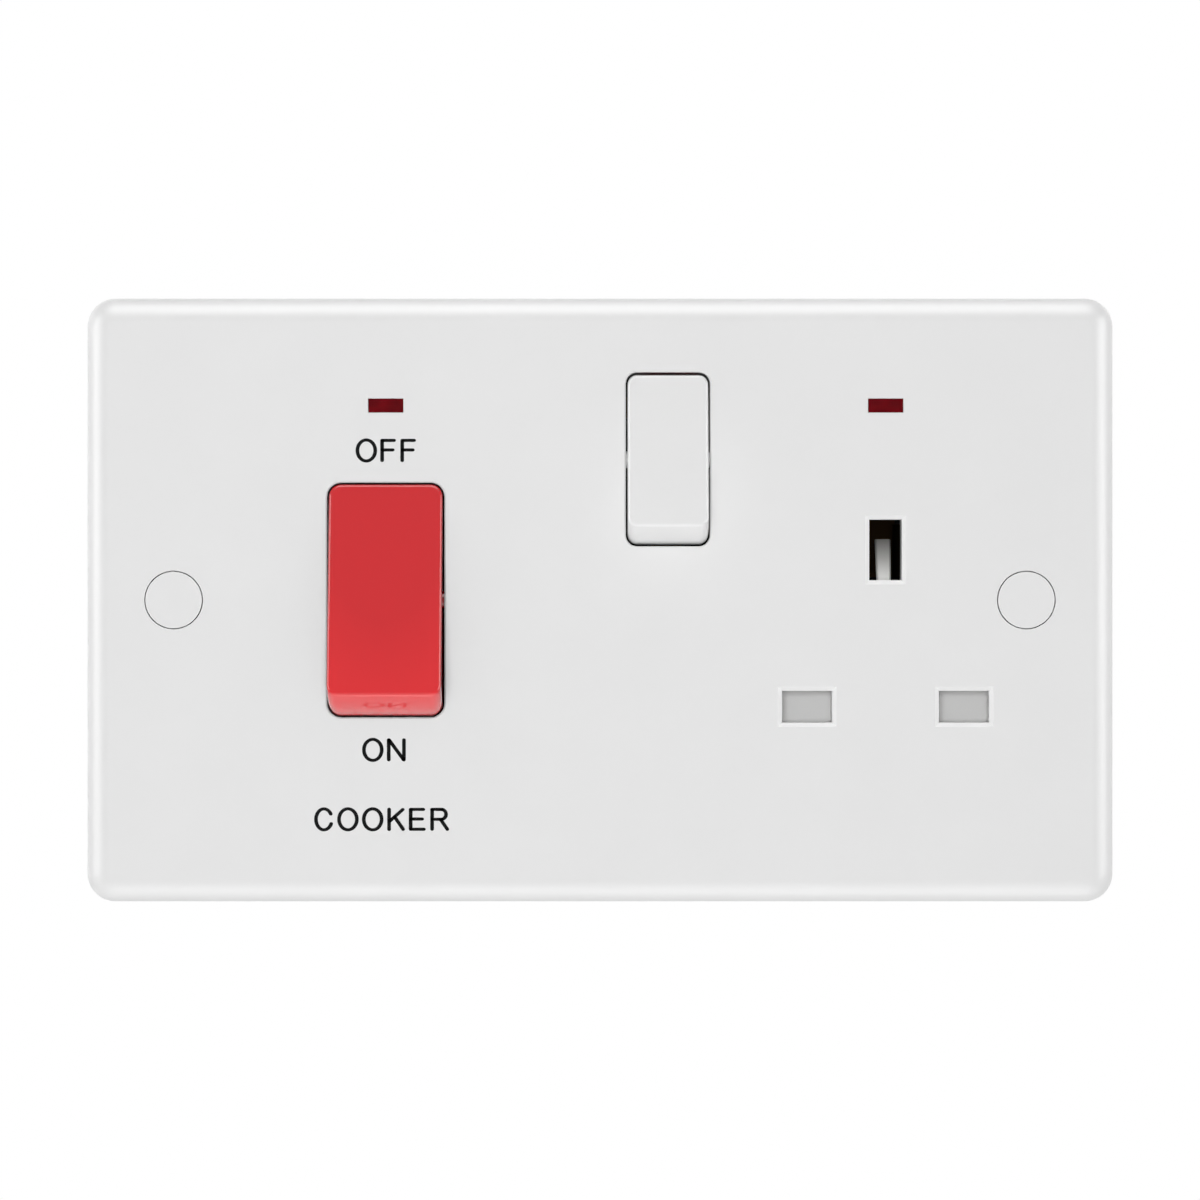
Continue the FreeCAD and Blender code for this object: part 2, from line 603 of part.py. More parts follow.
def fixed_contact_y(switch):
    """Front of a fixed contact: where the arm's stud comes to when the switch is on."""
    tilt = math.radians(ARM_TILT)
    root = (ARM_THICKNESS - ARM_BEAD_RADIUS + CONTACT_HEIGHT
            - switch.contact_reach * math.tan(math.radians(ARM_DISH)))
    stud = root * math.cos(tilt) + (switch.contact_reach + CONTACT_RADIUS) * math.sin(tilt)
    return ARM_AXIS_Y + stud + CONTACT_GAP_CLOSED


def fixed_stud(switch, x):
    """Contact stud that stands on a strip, opposite the stud of an arm."""
    return rod_y(CONTACT_RADIUS, x, switch.z + switch.contact_reach,
                 (fixed_contact_y(switch), STRIP_Y + STRIP_THICKNESS / 2))


def pivot_post(switch, x):
    """Upright end of a strip, grooved for an arm's bead."""
    post = block(around(x, switch.arm_width / 2), (ARM_AXIS_Y + POST_DEPTH, FLOOR_Y),
                 around(switch.z, POST_THICKNESS / 2))
    groove = rod(ARM_BEAD_RADIUS + PIVOT_CLEARANCE,
                 Vector(x - switch.arm_width, ARM_AXIS_Y, switch.z),
                 Vector(x + switch.arm_width, ARM_AXIS_Y, switch.z))
    return post.cut(groove)


def strip(x, z):
    """Flat run of strip on the floor of a rear moulding."""
    return block(x, (STRIP_Y, FLOOR_Y), z)


# Cooker side: strips, terminals and moulding
def cooker_sides():
    """Name, side of the middle and pole of each half of the cooker switch."""
    live, neutral = COOKER.pole_x()
    return (("live", 1, live), ("neutral", -1, neutral))


def terminal_x(side):
    return COOKER_X + side * COOKER_TERMINAL_SPACING / 2


def cooker_strip(side, pole, end):
    """Strip from under a terminal to the middle of the switch, at its upper or lower end."""
    inner = pole - side * COOKER_ARM_WIDTH / 2
    outer = pole + side * COOKER_ARM_WIDTH / 2
    reach = COOKER.cavity_half_height + BASE_WALL
    far = COOKER_TERMINAL_Z + TERMINAL_HEIGHT / 2
    pad_edge = terminal_x(side) + side * TERMINAL_WIDTH / 2
    pad = strip((inner, pad_edge), (COOKER_Z + end * reach, COOKER_Z + end * far))
    stop = COOKER_CONTACT_REACH - CONTACT_RADIUS if end > 0 else -POST_THICKNESS / 2
    run = strip((inner, outer), (COOKER_Z + stop, COOKER_Z + end * reach))
    return pad, run


def supply_strip(side, pole):
    return fuse(*cooker_strip(side, pole, 1), fixed_stud(COOKER, pole))


def live_busbar():
    """Live supply strip, carried on to the fixed contact of the socket's own switch."""
    _, side, pole = cooker_sides()[0]
    contact_z = SWITCH_Z + SWITCH_CONTACT_REACH
    link = strip((terminal_x(side), SWITCH_X + SWITCH_ARM_WIDTH / 2),
                 around(contact_z, BUSBAR_WIDTH / 2))
    return fuse(supply_strip(side, pole), link, fixed_stud(SOCKET, SWITCH_X))


def load_strip(side, pole):
    return fuse(*cooker_strip(side, pole, -1), pivot_post(COOKER, pole))


def terminal(x, z):
    """Bored brass block with a tapped hole for its clamping screw."""
    body = block(around(x, TERMINAL_WIDTH / 2), (FLOOR_Y, TERMINAL_BACK_Y),
                 around(z, TERMINAL_HEIGHT / 2))
    bore = rod(TERMINAL_BORE_RADIUS, Vector(x, TERMINAL_BORE_Y, z - TERMINAL_HEIGHT),
               Vector(x, TERMINAL_BORE_Y, z + TERMINAL_HEIGHT))
    tap = rod_y(TERMINAL_SCREW_RADIUS + TERMINAL_SCREW_CLEARANCE, x, z,
                (TERMINAL_BORE_Y, TERMINAL_BACK_Y + OVERCUT))
    return body.cut([bore, tap])


def terminal_screw(x, z):
    """Slotted cheese-head screw, backed off so that the bore is clear."""
    tip = TERMINAL_BORE_Y + TERMINAL_BORE_RADIUS + TERMINAL_SCREW_CLEARANCE
    head = (TERMINAL_BACK_Y + TERMINAL_SEAT_CLEARANCE,
            TERMINAL_BACK_Y + TERMINAL_SEAT_CLEARANCE + TERMINAL_HEAD_HEIGHT)
    slot = block(around(x, TERMINAL_HEAD_RADIUS + OVERCUT),
                 (head[1] - TERMINAL_SLOT_DEPTH, head[1] + OVERCUT),
                 around(z, TERMINAL_SLOT_WIDTH / 2))
    screw = fuse(rod_y(TERMINAL_SCREW_RADIUS, x, z, (tip, head[1] - TERMINAL_SLOT_DEPTH)),
                 rod_y(TERMINAL_HEAD_RADIUS, x, z, head))
    return screw.cut(slot)


def cooker_terminal_places():
    return [(terminal_x(side), COOKER_Z + end * COOKER_TERMINAL_Z)
            for side in (1, -1) for end in (1, -1)]


def terminal_room(x, z, out):
    """Pocket, screw access and cable entry for a terminal; out is the way the cable leaves."""
    seat = TERMINAL_SEAT_CLEARANCE
    pocket = block(around(x, TERMINAL_WIDTH / 2 + seat), (FLOOR_Y - OVERCUT, TERMINAL_BACK_Y + seat),
                   around(z, TERMINAL_HEIGHT / 2 + seat))
    access = rod_y(TERMINAL_HEAD_RADIUS + ACCESS_CLEARANCE, x, z, (TERMINAL_BACK_Y,
                                                                  TOWER_Y + OVERCUT))
    entry = rod(TERMINAL_BORE_RADIUS + ACCESS_CLEARANCE, Vector(x, TERMINAL_BORE_Y, z),
                Vector(x, TERMINAL_BORE_Y, z + out * 2 * TERMINAL_HEIGHT))
    return [pocket, access, entry]


def switch_cavity(switch):
    """Room for a rocker's skirt and its contacts, open to the front."""
    return block(around(switch.x, switch.cavity_half_width), (BASE_Y - OVERCUT, FLOOR_Y),
                 around(switch.z, switch.cavity_half_height))


def retainers(switch):
    """Posts that reach into the plate's grooves and keep the trunnions there."""
    shapes = []
    for side in (-1, 1):
        outer = switch.x + side * (switch.groove - PIVOT_CLEARANCE)
        inner = switch.x + side * (switch.cavity_half_width + PIVOT_CLEARANCE)
        shapes.append(block((inner, outer),
                            (PIVOT_Y + TRUNNION_RADIUS + RETAINER_GAP, BASE_Y + BASE_WALL),
                            around(switch.z, TRUNNION_RADIUS - PIVOT_CLEARANCE)))
    return shapes


def chamber_limits(end):
    """Limits along Z of the chamber that a row of terminals and their strips lie in."""
    inner = COOKER.cavity_half_height + BASE_WALL
    outer = COOKER_TERMINAL_Z + TERMINAL_HEIGHT / 2 + STRIP_CLEARANCE
    return (COOKER_Z + end * (inner - STRIP_CLEARANCE), COOKER_Z + end * outer)


def cooker_chamber(side, pole, end):
    """Front-loaded chamber for one strip and terminal, joined to the middle by a slot."""
    inner = pole - side * (COOKER_ARM_WIDTH / 2 + STRIP_CLEARANCE)
    outer = terminal_x(side) + side * (TERMINAL_WIDTH / 2 + STRIP_CLEARANCE)
    near, far = chamber_limits(end)
    chamber = block((inner, outer), (BASE_Y - OVERCUT, FLOOR_Y), (near, far))
    slot = block((inner, pole + side * (COOKER_ARM_WIDTH / 2 + STRIP_CLEARANCE)),
                 (STRIP_Y - STRIP_CLEARANCE, FLOOR_Y), (COOKER_Z, far))
    return [chamber, slot]


def neutral_busbar_channel(x):
    """Room for the neutral busbar's crossing run, open to the front."""
    y = FRONT_Y + NEUTRAL_BUSBAR_DEPTH
    return block(x, (BASE_Y - OVERCUT, y + STRIP_THICKNESS + STRIP_CLEARANCE),
                 around(NEUTRAL_BUSBAR_Z, BUSBAR_WIDTH / 2 + STRIP_CLEARANCE))


def live_busbar_channel(x):
    z = SWITCH_Z + SWITCH_CONTACT_REACH
    return block(x, (BASE_Y - OVERCUT, FLOOR_Y), around(z, BUSBAR_WIDTH / 2 + STRIP_CLEARANCE))


def cooker_base():
    """Moulding behind the cooker switch: middle well, and a tower of terminals at each end."""
    width, height = 2 * COOKER_BASE_HALF_WIDTH, 2 * COOKER_BASE_HALF_HEIGHT
    body = rounded_block(COOKER_X, COOKER_Z, width, height, BASE_CORNER_RADIUS, (BASE_Y, TOWER_Y))
    near = COOKER.cavity_half_height
    waist = block(around(COOKER_X, width), (BASE_BACK_Y, TOWER_Y + OVERCUT), around(COOKER_Z, near))
    body = body.cut(waist)
    places, _ = base_screw_places()
    ears = [rod_y(EAR_RADIUS, x, z, (BASE_Y, BASE_Y + EAR_THICKNESS)) for x, z in places]
    removed = [switch_cavity(COOKER), neon_room(COOKER_X)]
    for x, z in places:
        web = block((x, COOKER_X), (BASE_Y, BASE_Y + EAR_THICKNESS), around(z, EAR_RADIUS))
        ears.append(web)
        removed.append(rod_y(BASE_SCREW_RADIUS + BASE_SCREW_CLEARANCE, x, z,
                             (BASE_Y - OVERCUT, BASE_Y + EAR_THICKNESS + OVERCUT)))
    for _, side, pole in cooker_sides():
        for end in (1, -1):
            removed += cooker_chamber(side, pole, end)
    for x, z in cooker_terminal_places():
        removed += terminal_room(x, z, math.copysign(1, z - COOKER_Z))
    right = COOKER_X + COOKER_BASE_HALF_WIDTH + OVERCUT
    removed.append(neutral_busbar_channel((terminal_x(-1), right)))
    removed.append(live_busbar_channel((terminal_x(1), right)))
    body = fuse(body, *ears).cut(removed)
    barrier = block(around(COOKER_X, BASE_WALL / 2),
                    (FRONT_Y + NEUTRAL_BUSBAR_DEPTH, FLOOR_Y + BASE_WALL),
                    around(COOKER_Z, COOKER.cavity_half_height + BASE_WALL))
    return fuse(body, barrier, *retainers(COOKER))


# Outlet side: contacts, shutter and moulding
def leaf_line(mouth_y, floor_y):
    """Half outline of a folded contact: distance from the pin's middle at each depth."""
    waist = mouth_y + (floor_y - mouth_y) / 4
    root = floor_y - (floor_y - mouth_y) / 8
    return [(mouth_y, PIN_LEAF_MOUTH), (waist, PIN_LEAF_PINCH), (root, PIN_LEAF_ROOT),
            (floor_y, PIN_LEAF_ROOT)]


def pin_contact(x):
    """Folded contact that grips a line or neutral pin from above and below."""
    half = leaf_line(BASE_Y + BASE_WALL, FLOOR_Y - LEAF_THICKNESS)
    left = x - PIN_LEAF_WIDTH / 2
    points = [Vector(left, y, OUTLET_PIN_Z + gap) for y, gap in half]
    points += [Vector(left, y, OUTLET_PIN_Z - gap) for y, gap in reversed(half)]
    return folded_sheet(points, LEAF_THICKNESS, Vector(PIN_LEAF_WIDTH, 0, 0))


def line_contact():
    """Pivot post of the socket's switch, its strip, and the contact for the line pin."""
    run_z = around((EARTH_Z + OUTLET_PIN_Z) / 2, SWITCH_ARM_WIDTH / 2)
    down = strip(around(SWITCH_X, SWITCH_ARM_WIDTH / 2), (run_z[0], SWITCH_Z + POST_THICKNESS / 2))
    across = strip((SWITCH_X - SWITCH_ARM_WIDTH / 2, LINE_X + SWITCH_ARM_WIDTH / 2), run_z)
    foot = strip(around(LINE_X, SWITCH_ARM_WIDTH / 2),
                 (OUTLET_PIN_Z + PIN_LEAF_ROOT + LEAF_THICKNESS / 2, run_z[1]))
    return fuse(down, across, foot, pivot_post(SOCKET, SWITCH_X), pin_contact(LINE_X))


def neutral_contact():
    return pin_contact(NEUTRAL_X)


def neutral_busbar():
    """Neutral link that crosses in front of the live strip and runs down to the neutral contact."""
    front = FRONT_Y + NEUTRAL_BUSBAR_DEPTH
    level = (front, front + STRIP_THICKNESS)
    start = terminal_x(-1)
    end = NEUTRAL_X - PIN_LEAF_WIDTH / 2
    half = BUSBAR_WIDTH / 2
    drop = around(NEUTRAL_BUSBAR_X, half)
    top = around(NEUTRAL_BUSBAR_Z, half)
    bottom = around(OUTLET_PIN_Z, half)
    return fuse(block(around(start, half), (front, STRIP_Y), top),
                block((start - half, drop[1]), level, top),
                block(drop, level, (bottom[0], top[1])),
                block((drop[0], end), level, bottom),
                block((end - STRIP_THICKNESS, end), (front, FLOOR_Y), bottom))


def earth_contact():
    """Folded contact for the earth pin, with a tongue that runs up under the earth terminal."""
    base_y = EARTH_FLOOR_Y - LEAF_THICKNESS
    bottom = EARTH_Z - EARTH_LEAF_WIDTH / 2
    mouth_y = PAD_Y + SHUTTER_GAP + SHUTTER_THICKNESS + SHUTTER_RAMP_DEPTH + BASE_WALL
    half = leaf_line(mouth_y, base_y)
    points = [Vector(OUTLET_X - gap, y, bottom) for y, gap in half]
    points += [Vector(OUTLET_X + gap, y, bottom) for y, gap in reversed(half)]
    leaves = folded_sheet(points, LEAF_THICKNESS, Vector(0, 0, EARTH_LEAF_WIDTH))
    top = EARTH_Z + EARTH_LEAF_WIDTH / 2
    pad = EARTH_TERMINAL_Z - TERMINAL_HEIGHT / 2
    front = [(base_y, top - LEAF_THICKNESS), (base_y, top + LEAF_THICKNESS),
             (FLOOR_Y - LEAF_THICKNESS, pad), (FLOOR_Y - LEAF_THICKNESS, pad + TERMINAL_HEIGHT)]
    back = [(y + LEAF_THICKNESS, z) for y, z in reversed(front)]
    return fuse(leaves, plate_yz(front + back, around(OUTLET_X, PIN_LEAF_ROOT)))


def shutter_ramp(level, foot):
    """Slope that an earth pin pushes on: wider towards its crest, with bevelled front edges."""
    crest = foot + SHUTTER_RAMP_RISE
    sections = []
    for z, depth, flare in ((foot, 0, 0), (crest, SHUTTER_RAMP_DEPTH, SHUTTER_RAMP_FLARE)):
        front, back = level[0] + depth, level[1] + depth
        side = SHUTTER_RAMP_WIDTH / 2 + flare
        corners = [(-side, back), (-side, front + SHUTTER_RAMP_BEVEL), (SHUTTER_RAMP_BEVEL - side, front),
                   (side - SHUTTER_RAMP_BEVEL, front), (side, front + SHUTTER_RAMP_BEVEL), (side, back)]
        sections.append(Part.makePolygon([Vector(OUTLET_X + x, y, z) for x, y in corners + corners[:1]]))
    ramp = Part.makeLoft(sections, True, True)
    upper = [edge for edge in ramp.Edges
             if all(abs(vertex.Z - crest) < 1e-6 for vertex in edge.Vertexes)
             and abs(edge.Vertexes[0].X - edge.Vertexes[1].X) < 1e-6]
    return ramp.makeFillet(SHUTTER_RAMP_CORNER, upper)


def shutter():
    """Sliding shutter: a blade behind each of the lower slots and a ramp behind the earth slot."""
    level = (PAD_Y + SHUTTER_GAP, PAD_Y + SHUTTER_GAP + SHUTTER_THICKNESS)
    half = PIN_SLOT_WIDTH / 2 + SHUTTER_OVERLAP
    foot = EARTH_Z - EARTH_SLOT_HEIGHT / 2 - SHUTTER_RAMP_START
    blades = block((NEUTRAL_X - half, LINE_X + half), level, around(OUTLET_PIN_Z, BLADE_HALF_HEIGHT))
    stem = block(around(OUTLET_X, SHUTTER_STEM_WIDTH / 2), level, (OUTLET_PIN_Z, foot))
    lug_z = OUTLET_PIN_Z - BLADE_HALF_HEIGHT
    lug = block(around(OUTLET_X, SHUTTER_LUG_WIDTH / 2), (level[0], level[1] + SHUTTER_LUG_REACH),
                (lug_z, lug_z + SHUTTER_LUG_HEIGHT))
    return fuse(blades, stem, shutter_ramp(level, foot), lug)


def shutter_spring_bottom():
    return OUTLET_PIN_Z - BLADE_HALF_HEIGHT - SHUTTER_SPRING_LENGTH


def shutter_spring():
    """Return spring under the shutter's lug, in a groove of the moulding."""
    y = PAD_Y + SHUTTER_GAP + SHUTTER_THICKNESS + SHUTTER_LUG_REACH / 2
    return coil_spring(SHUTTER_SPRING_RADIUS, SPRING_WIRE, SHUTTER_SPRING_LENGTH, SPRING_TURNS + 1,
                       Vector(OUTLET_X, y, shutter_spring_bottom()), Vector(0, 0, 1))


def shutter_room():
    """Groove for the shutter's lug and spring, and the slot that its ramp slides down in."""
    y = PAD_Y + SHUTTER_GAP + SHUTTER_THICKNESS
    lug_half = max(SHUTTER_LUG_WIDTH / 2, SHUTTER_SPRING_RADIUS + SPRING_WIRE / 2) + CAVITY_CLEARANCE
    lug_top = OUTLET_PIN_Z - BLADE_HALF_HEIGHT + SHUTTER_LUG_HEIGHT + CAVITY_CLEARANCE
    groove = block(around(OUTLET_X, lug_half), (BASE_Y - OVERCUT, y + SHUTTER_LUG_REACH + CAVITY_CLEARANCE),
                   (shutter_spring_bottom(), lug_top))
    foot = EARTH_Z - EARTH_SLOT_HEIGHT / 2 - SHUTTER_RAMP_START
    slot = block(around(OUTLET_X, SHUTTER_RAMP_WIDTH / 2 + SHUTTER_RAMP_FLARE + CAVITY_CLEARANCE),
                 (BASE_Y - OVERCUT, y + SHUTTER_RAMP_DEPTH + CAVITY_CLEARANCE),
                 (foot - SHUTTER_THICKNESS - SHUTTER_TRAVEL, EARTH_Z))
    return [groove, slot]


def shutter_guides():
    """Two ribs that keep the shutter's stem upright."""
    top = OUTLET_PIN_Z + BLADE_HALF_HEIGHT + CAVITY_CLEARANCE
    shapes = []
    for side in (-1, 1):
        inner = OUTLET_X + side * (SHUTTER_STEM_WIDTH / 2 + SHUTTER_GAP)
        shapes.append(block((inner, inner + side * SHUTTER_GUIDE_WALL),
                            (PAD_Y + 2 * SHUTTER_GAP, BASE_Y + BASE_WALL),
                            (top, top + SHUTTER_GUIDE_LENGTH)))
    return shapes


def pin_room(x, left_extra):
    """Well for a line or neutral contact."""
    half = PIN_LEAF_WIDTH / 2 + STRIP_CLEARANCE
    tall = PIN_LEAF_MOUTH + LEAF_THICKNESS + CONTACT_ROOM
    return block((x - half - left_extra, x + half), (BASE_Y - OVERCUT, FLOOR_Y),
                 around(OUTLET_PIN_Z, tall))


def line_strip_room():
    """Channels for the strip between the socket's switch and the line contact."""
    half = SWITCH_ARM_WIDTH / 2 + STRIP_CLEARANCE
    level = (BASE_Y - OVERCUT, FLOOR_Y)
    run_z = around((EARTH_Z + OUTLET_PIN_Z) / 2, half)
    return [block(around(SWITCH_X, half), level, (run_z[0], SWITCH_Z)),
            block((SWITCH_X - half, LINE_X + half), level, run_z),
            block(around(LINE_X, half), level, (OUTLET_PIN_Z, run_z[1]))]


def earth_room():
    """Deep well for the earth contact and the channel of its tongue."""
    wide = PIN_LEAF_MOUTH + LEAF_THICKNESS + CONTACT_ROOM
    tongue = PIN_LEAF_ROOT + STRIP_CLEARANCE
    pad = EARTH_TERMINAL_Z - TERMINAL_HEIGHT / 2
    level = (BASE_Y - OVERCUT, EARTH_FLOOR_Y)
    return [block(around(OUTLET_X, wide), level, around(EARTH_Z, EARTH_LEAF_WIDTH / 2 + CONTACT_ROOM)),
            block(around(OUTLET_X, tongue), level, (EARTH_Z, pad + STRIP_CLEARANCE)),
            block(around(OUTLET_X, TERMINAL_WIDTH / 2 + TERMINAL_SEAT_CLEARANCE),
                  (BASE_Y - OVERCUT, FLOOR_Y),
                  around(EARTH_TERMINAL_Z, TERMINAL_HEIGHT / 2 + TERMINAL_SEAT_CLEARANCE))]


def neon_room(x):
    """Recess in the front of a moulding for the lamp and its resistor."""
    margin = NEON_LEAD_GAP + CAVITY_CLEARANCE
    span = (x - NEON_LAMP_LENGTH / 2 - margin,
            x + NEON_LAMP_LENGTH / 2 + NEON_LEAD_GAP + RESISTOR_LENGTH + margin)
    tall = NEON_LAMP_RADIUS + NEON_LAMP_GAP + NEON_RIB_WALL + CAVITY_CLEARANCE
    floor = lamp_y() + NEON_LAMP_RADIUS + CAVITY_CLEARANCE
    return block(span, (BASE_Y - OVERCUT, floor), around(NEON_Z, tall))


def outlet_base():
    """Moulding behind the outlet, with a hump for the earth contact and a tower for its terminal."""
    middle = (OUTLET_BASE_LEFT + OUTLET_BASE_RIGHT) / 2
    level = (BASE_Y, BASE_BACK_Y)
    body = rounded_block(middle, (OUTLET_BASE_BOTTOM + OUTLET_BASE_TOP) / 2,
                         OUTLET_BASE_RIGHT - OUTLET_BASE_LEFT, OUTLET_BASE_TOP - OUTLET_BASE_BOTTOM,
                         BASE_CORNER_RADIUS, level)
    switch_right = SWITCH_X + (SWITCH_X - OUTLET_BASE_LEFT)
    raised = rounded_block(SWITCH_X, (OUTLET_BASE_BOTTOM + SWITCH_BASE_TOP) / 2,
                           switch_right - OUTLET_BASE_LEFT, SWITCH_BASE_TOP - OUTLET_BASE_BOTTOM,
                           BASE_CORNER_RADIUS, level)
    hump_half = PIN_LEAF_MOUTH + LEAF_THICKNESS + CONTACT_ROOM + BASE_WALL
    hump = rounded_block(OUTLET_X, EARTH_Z, 2 * hump_half, EARTH_LEAF_WIDTH + 2 * (CONTACT_ROOM + BASE_WALL),
                         BASE_CORNER_RADIUS, (BASE_Y, EARTH_FLOOR_Y + BASE_FLOOR_THICKNESS))
    tower_half = TERMINAL_WIDTH / 2 + TERMINAL_SEAT_CLEARANCE + BASE_WALL
    tower_bottom = EARTH_TERMINAL_Z - TERMINAL_HEIGHT / 2 - TERMINAL_SEAT_CLEARANCE - BASE_WALL
    tower = rounded_block(OUTLET_X, (tower_bottom + OUTLET_BASE_TOP) / 2, 2 * tower_half,
                          OUTLET_BASE_TOP - tower_bottom, BASE_CORNER_RADIUS, (BASE_Y, TOWER_Y))
    chase = block(around(OUTLET_X, PIN_LEAF_ROOT + STRIP_CLEARANCE + BASE_WALL),
                  (BASE_Y, EARTH_FLOOR_Y + BASE_FLOOR_THICKNESS), (EARTH_Z, tower_bottom + BASE_WALL))
    removed = [switch_cavity(SOCKET), pin_room(LINE_X, 0), pin_room(NEUTRAL_X, STRIP_THICKNESS)]
    removed += line_strip_room() + earth_room() + shutter_room()
    removed += terminal_room(OUTLET_X, EARTH_TERMINAL_Z, 1)
    removed.append(neon_room(OUTLET_X))
    front = FRONT_Y + NEUTRAL_BUSBAR_DEPTH
    removed.append(block((OUTLET_BASE_LEFT - OVERCUT, NEUTRAL_X),
                         (BASE_Y - OVERCUT, front + STRIP_THICKNESS + STRIP_CLEARANCE),
                         around(OUTLET_PIN_Z, BUSBAR_WIDTH / 2 + STRIP_CLEARANCE)))
    removed.append(live_busbar_channel((OUTLET_BASE_LEFT - OVERCUT, SWITCH_X)))
    boss = CAP_RECESS_RADIUS + FIXING_BOSS_WALL + CAVITY_CLEARANCE
    removed.append(rod_y(boss, FIXING_X[1], 0, (BASE_Y - OVERCUT, TOWER_Y)))
    seat = BASE_Y + EAR_THICKNESS
    for x, z in OUTLET_SCREWS:
        removed.append(rod_y(BASE_SCREW_RADIUS + BASE_SCREW_CLEARANCE, x, z, (BASE_Y - OVERCUT, seat)))
        removed.append(rod_y(BASE_SCREW_HEAD_RADIUS + ACCESS_CLEARANCE, x, z,
                             (seat, BASE_BACK_Y + OVERCUT)))
    body = fuse(body, raised, hump, tower, chase).cut(removed)
    return fuse(body, *retainers(SOCKET), *shutter_guides())


def base_screw(x, z):
    """Pan-head screw that holds a rear moulding to a boss of the plate."""
    seat = BASE_Y + EAR_THICKNESS
    shank = rod_y(BASE_SCREW_RADIUS, x, z, (BASE_Y - BASE_SCREW_BITE, seat + BASE_SCREW_HEAD_HEIGHT / 2))
    head = rod_y(BASE_SCREW_HEAD_RADIUS, x, z, (seat, seat + BASE_SCREW_HEAD_HEIGHT))
    slot = block(around(x, BASE_SCREW_HEAD_RADIUS + OVERCUT),
                 (seat + BASE_SCREW_HEAD_HEIGHT / 2, seat + BASE_SCREW_HEAD_HEIGHT + OVERCUT),
                 around(z, TERMINAL_SLOT_WIDTH / 2))
    return fuse(shank, head).cut(slot)


# Neon indicators
def lamp_y():
    return SKIN_Y + NEON_FLANGE_THICKNESS + NEON_LAMP_GAP + NEON_LAMP_RADIUS


def neon_lens(x):
    """Red window flush in the plate, with a flange behind it."""
    window = block(around(x, NEON_WIDTH / 2), (FRONT_Y + NEON_LENS_RECESS, SKIN_Y),
                   around(NEON_Z, NEON_HEIGHT / 2))
    flange = block(around(x, NEON_WIDTH / 2 + NEON_FLANGE), (SKIN_Y, SKIN_Y + NEON_FLANGE_THICKNESS),
                   around(NEON_Z, NEON_HEIGHT / 2 + NEON_FLANGE))
    return fuse(window, flange)


def neon_lamp(x):
    """Glass lamp with a round nose, lying behind its lens."""
    left = Vector(x - NEON_LAMP_LENGTH / 2 + NEON_LAMP_RADIUS, lamp_y(), NEON_Z)
    right = Vector(x + NEON_LAMP_LENGTH / 2, lamp_y(), NEON_Z)
    return fuse(rod(NEON_LAMP_RADIUS, left, right), Part.makeSphere(NEON_LAMP_RADIUS, left))


def neon_resistor(x):
    start = x + NEON_LAMP_LENGTH / 2 + NEON_LEAD_GAP
    return rod(RESISTOR_RADIUS, Vector(start, lamp_y(), NEON_Z),
               Vector(start + RESISTOR_LENGTH, lamp_y(), NEON_Z))


def neon_lead(x):
    """Wire between the lamp and its resistor."""
    start = x + NEON_LAMP_LENGTH / 2
    return rod(NEON_LEAD_RADIUS, Vector(start, lamp_y(), NEON_Z),
               Vector(start + NEON_LEAD_GAP, lamp_y(), NEON_Z))


def all_nodes():
    """Every piece by its name."""
    nodes = {
        "front_plate": front_plate(),
        "fixing_screws": fixing_screws(),
        "screw_cap_left": screw_cap(FIXING_X[0]),
        "screw_cap_right": screw_cap(FIXING_X[1]),
        "cooker_rocker": rocker(COOKER),
        "socket_rocker": rocker(SOCKET),
        "cooker_base": cooker_base(),
        "outlet_base": outlet_base(),
        "live_busbar": live_busbar(),
        "neutral_busbar": neutral_busbar(),
        "line_contact": line_contact(),
        "neutral_contact": neutral_contact(),
        "earth_contact": earth_contact(),
        "shutter": shutter(),
        "shutter_spring": shutter_spring(),
        "socket_plunger": plunger(SOCKET, 0.0),
        "socket_plunger_spring": plunger_spring(SOCKET, 0.0),
        "socket_contact_arm": contact_arm(SOCKET, SWITCH_X),
        "earth_terminal": terminal(OUTLET_X, EARTH_TERMINAL_Z),
        "earth_terminal_screw": terminal_screw(OUTLET_X, EARTH_TERMINAL_Z),
        "cooker_terminal_screws": Part.makeCompound(
            [terminal_screw(x, z) for x, z in cooker_terminal_places()]),
    }
    for name, side, pole in cooker_sides():
        offset = pole - COOKER_X
        nodes[f"cooker_plunger_{name}"] = plunger(COOKER, offset)
        nodes[f"cooker_plunger_spring_{name}"] = plunger_spring(COOKER, offset)
        nodes[f"cooker_contact_arm_{name}"] = contact_arm(COOKER, pole)
        nodes[f"load_strip_{name}"] = load_strip(side, pole)
        nodes[f"supply_terminal_{name}"] = terminal(terminal_x(side), COOKER_Z + COOKER_TERMINAL_Z)
        nodes[f"load_terminal_{name}"] = terminal(terminal_x(side), COOKER_Z - COOKER_TERMINAL_Z)
    _, side, pole = cooker_sides()[1]
    nodes["supply_strip_neutral"] = supply_strip(side, pole)
    for name, places in zip(("cooker_base_screws", "outlet_base_screws"), base_screw_places()):
        nodes[name] = Part.makeCompound([base_screw(x, z) for x, z in places])
    for name, x in NEONS.items():
        nodes[f"{name}_neon_lens"] = neon_lens(x)
        nodes[f"{name}_neon_lamp"] = neon_lamp(x)
        nodes[f"{name}_neon_resistor"] = neon_resistor(x)
        nodes[f"{name}_neon_lead"] = neon_lead(x)
    return nodes


def main():
    os.makedirs("parts", exist_ok=True)
    for name, shape in all_nodes().items():
        shape.exportStep(f"parts/{name}.step")


main()
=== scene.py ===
import json
import math

import bmesh
import bpy
from mathutils import Matrix, Vector

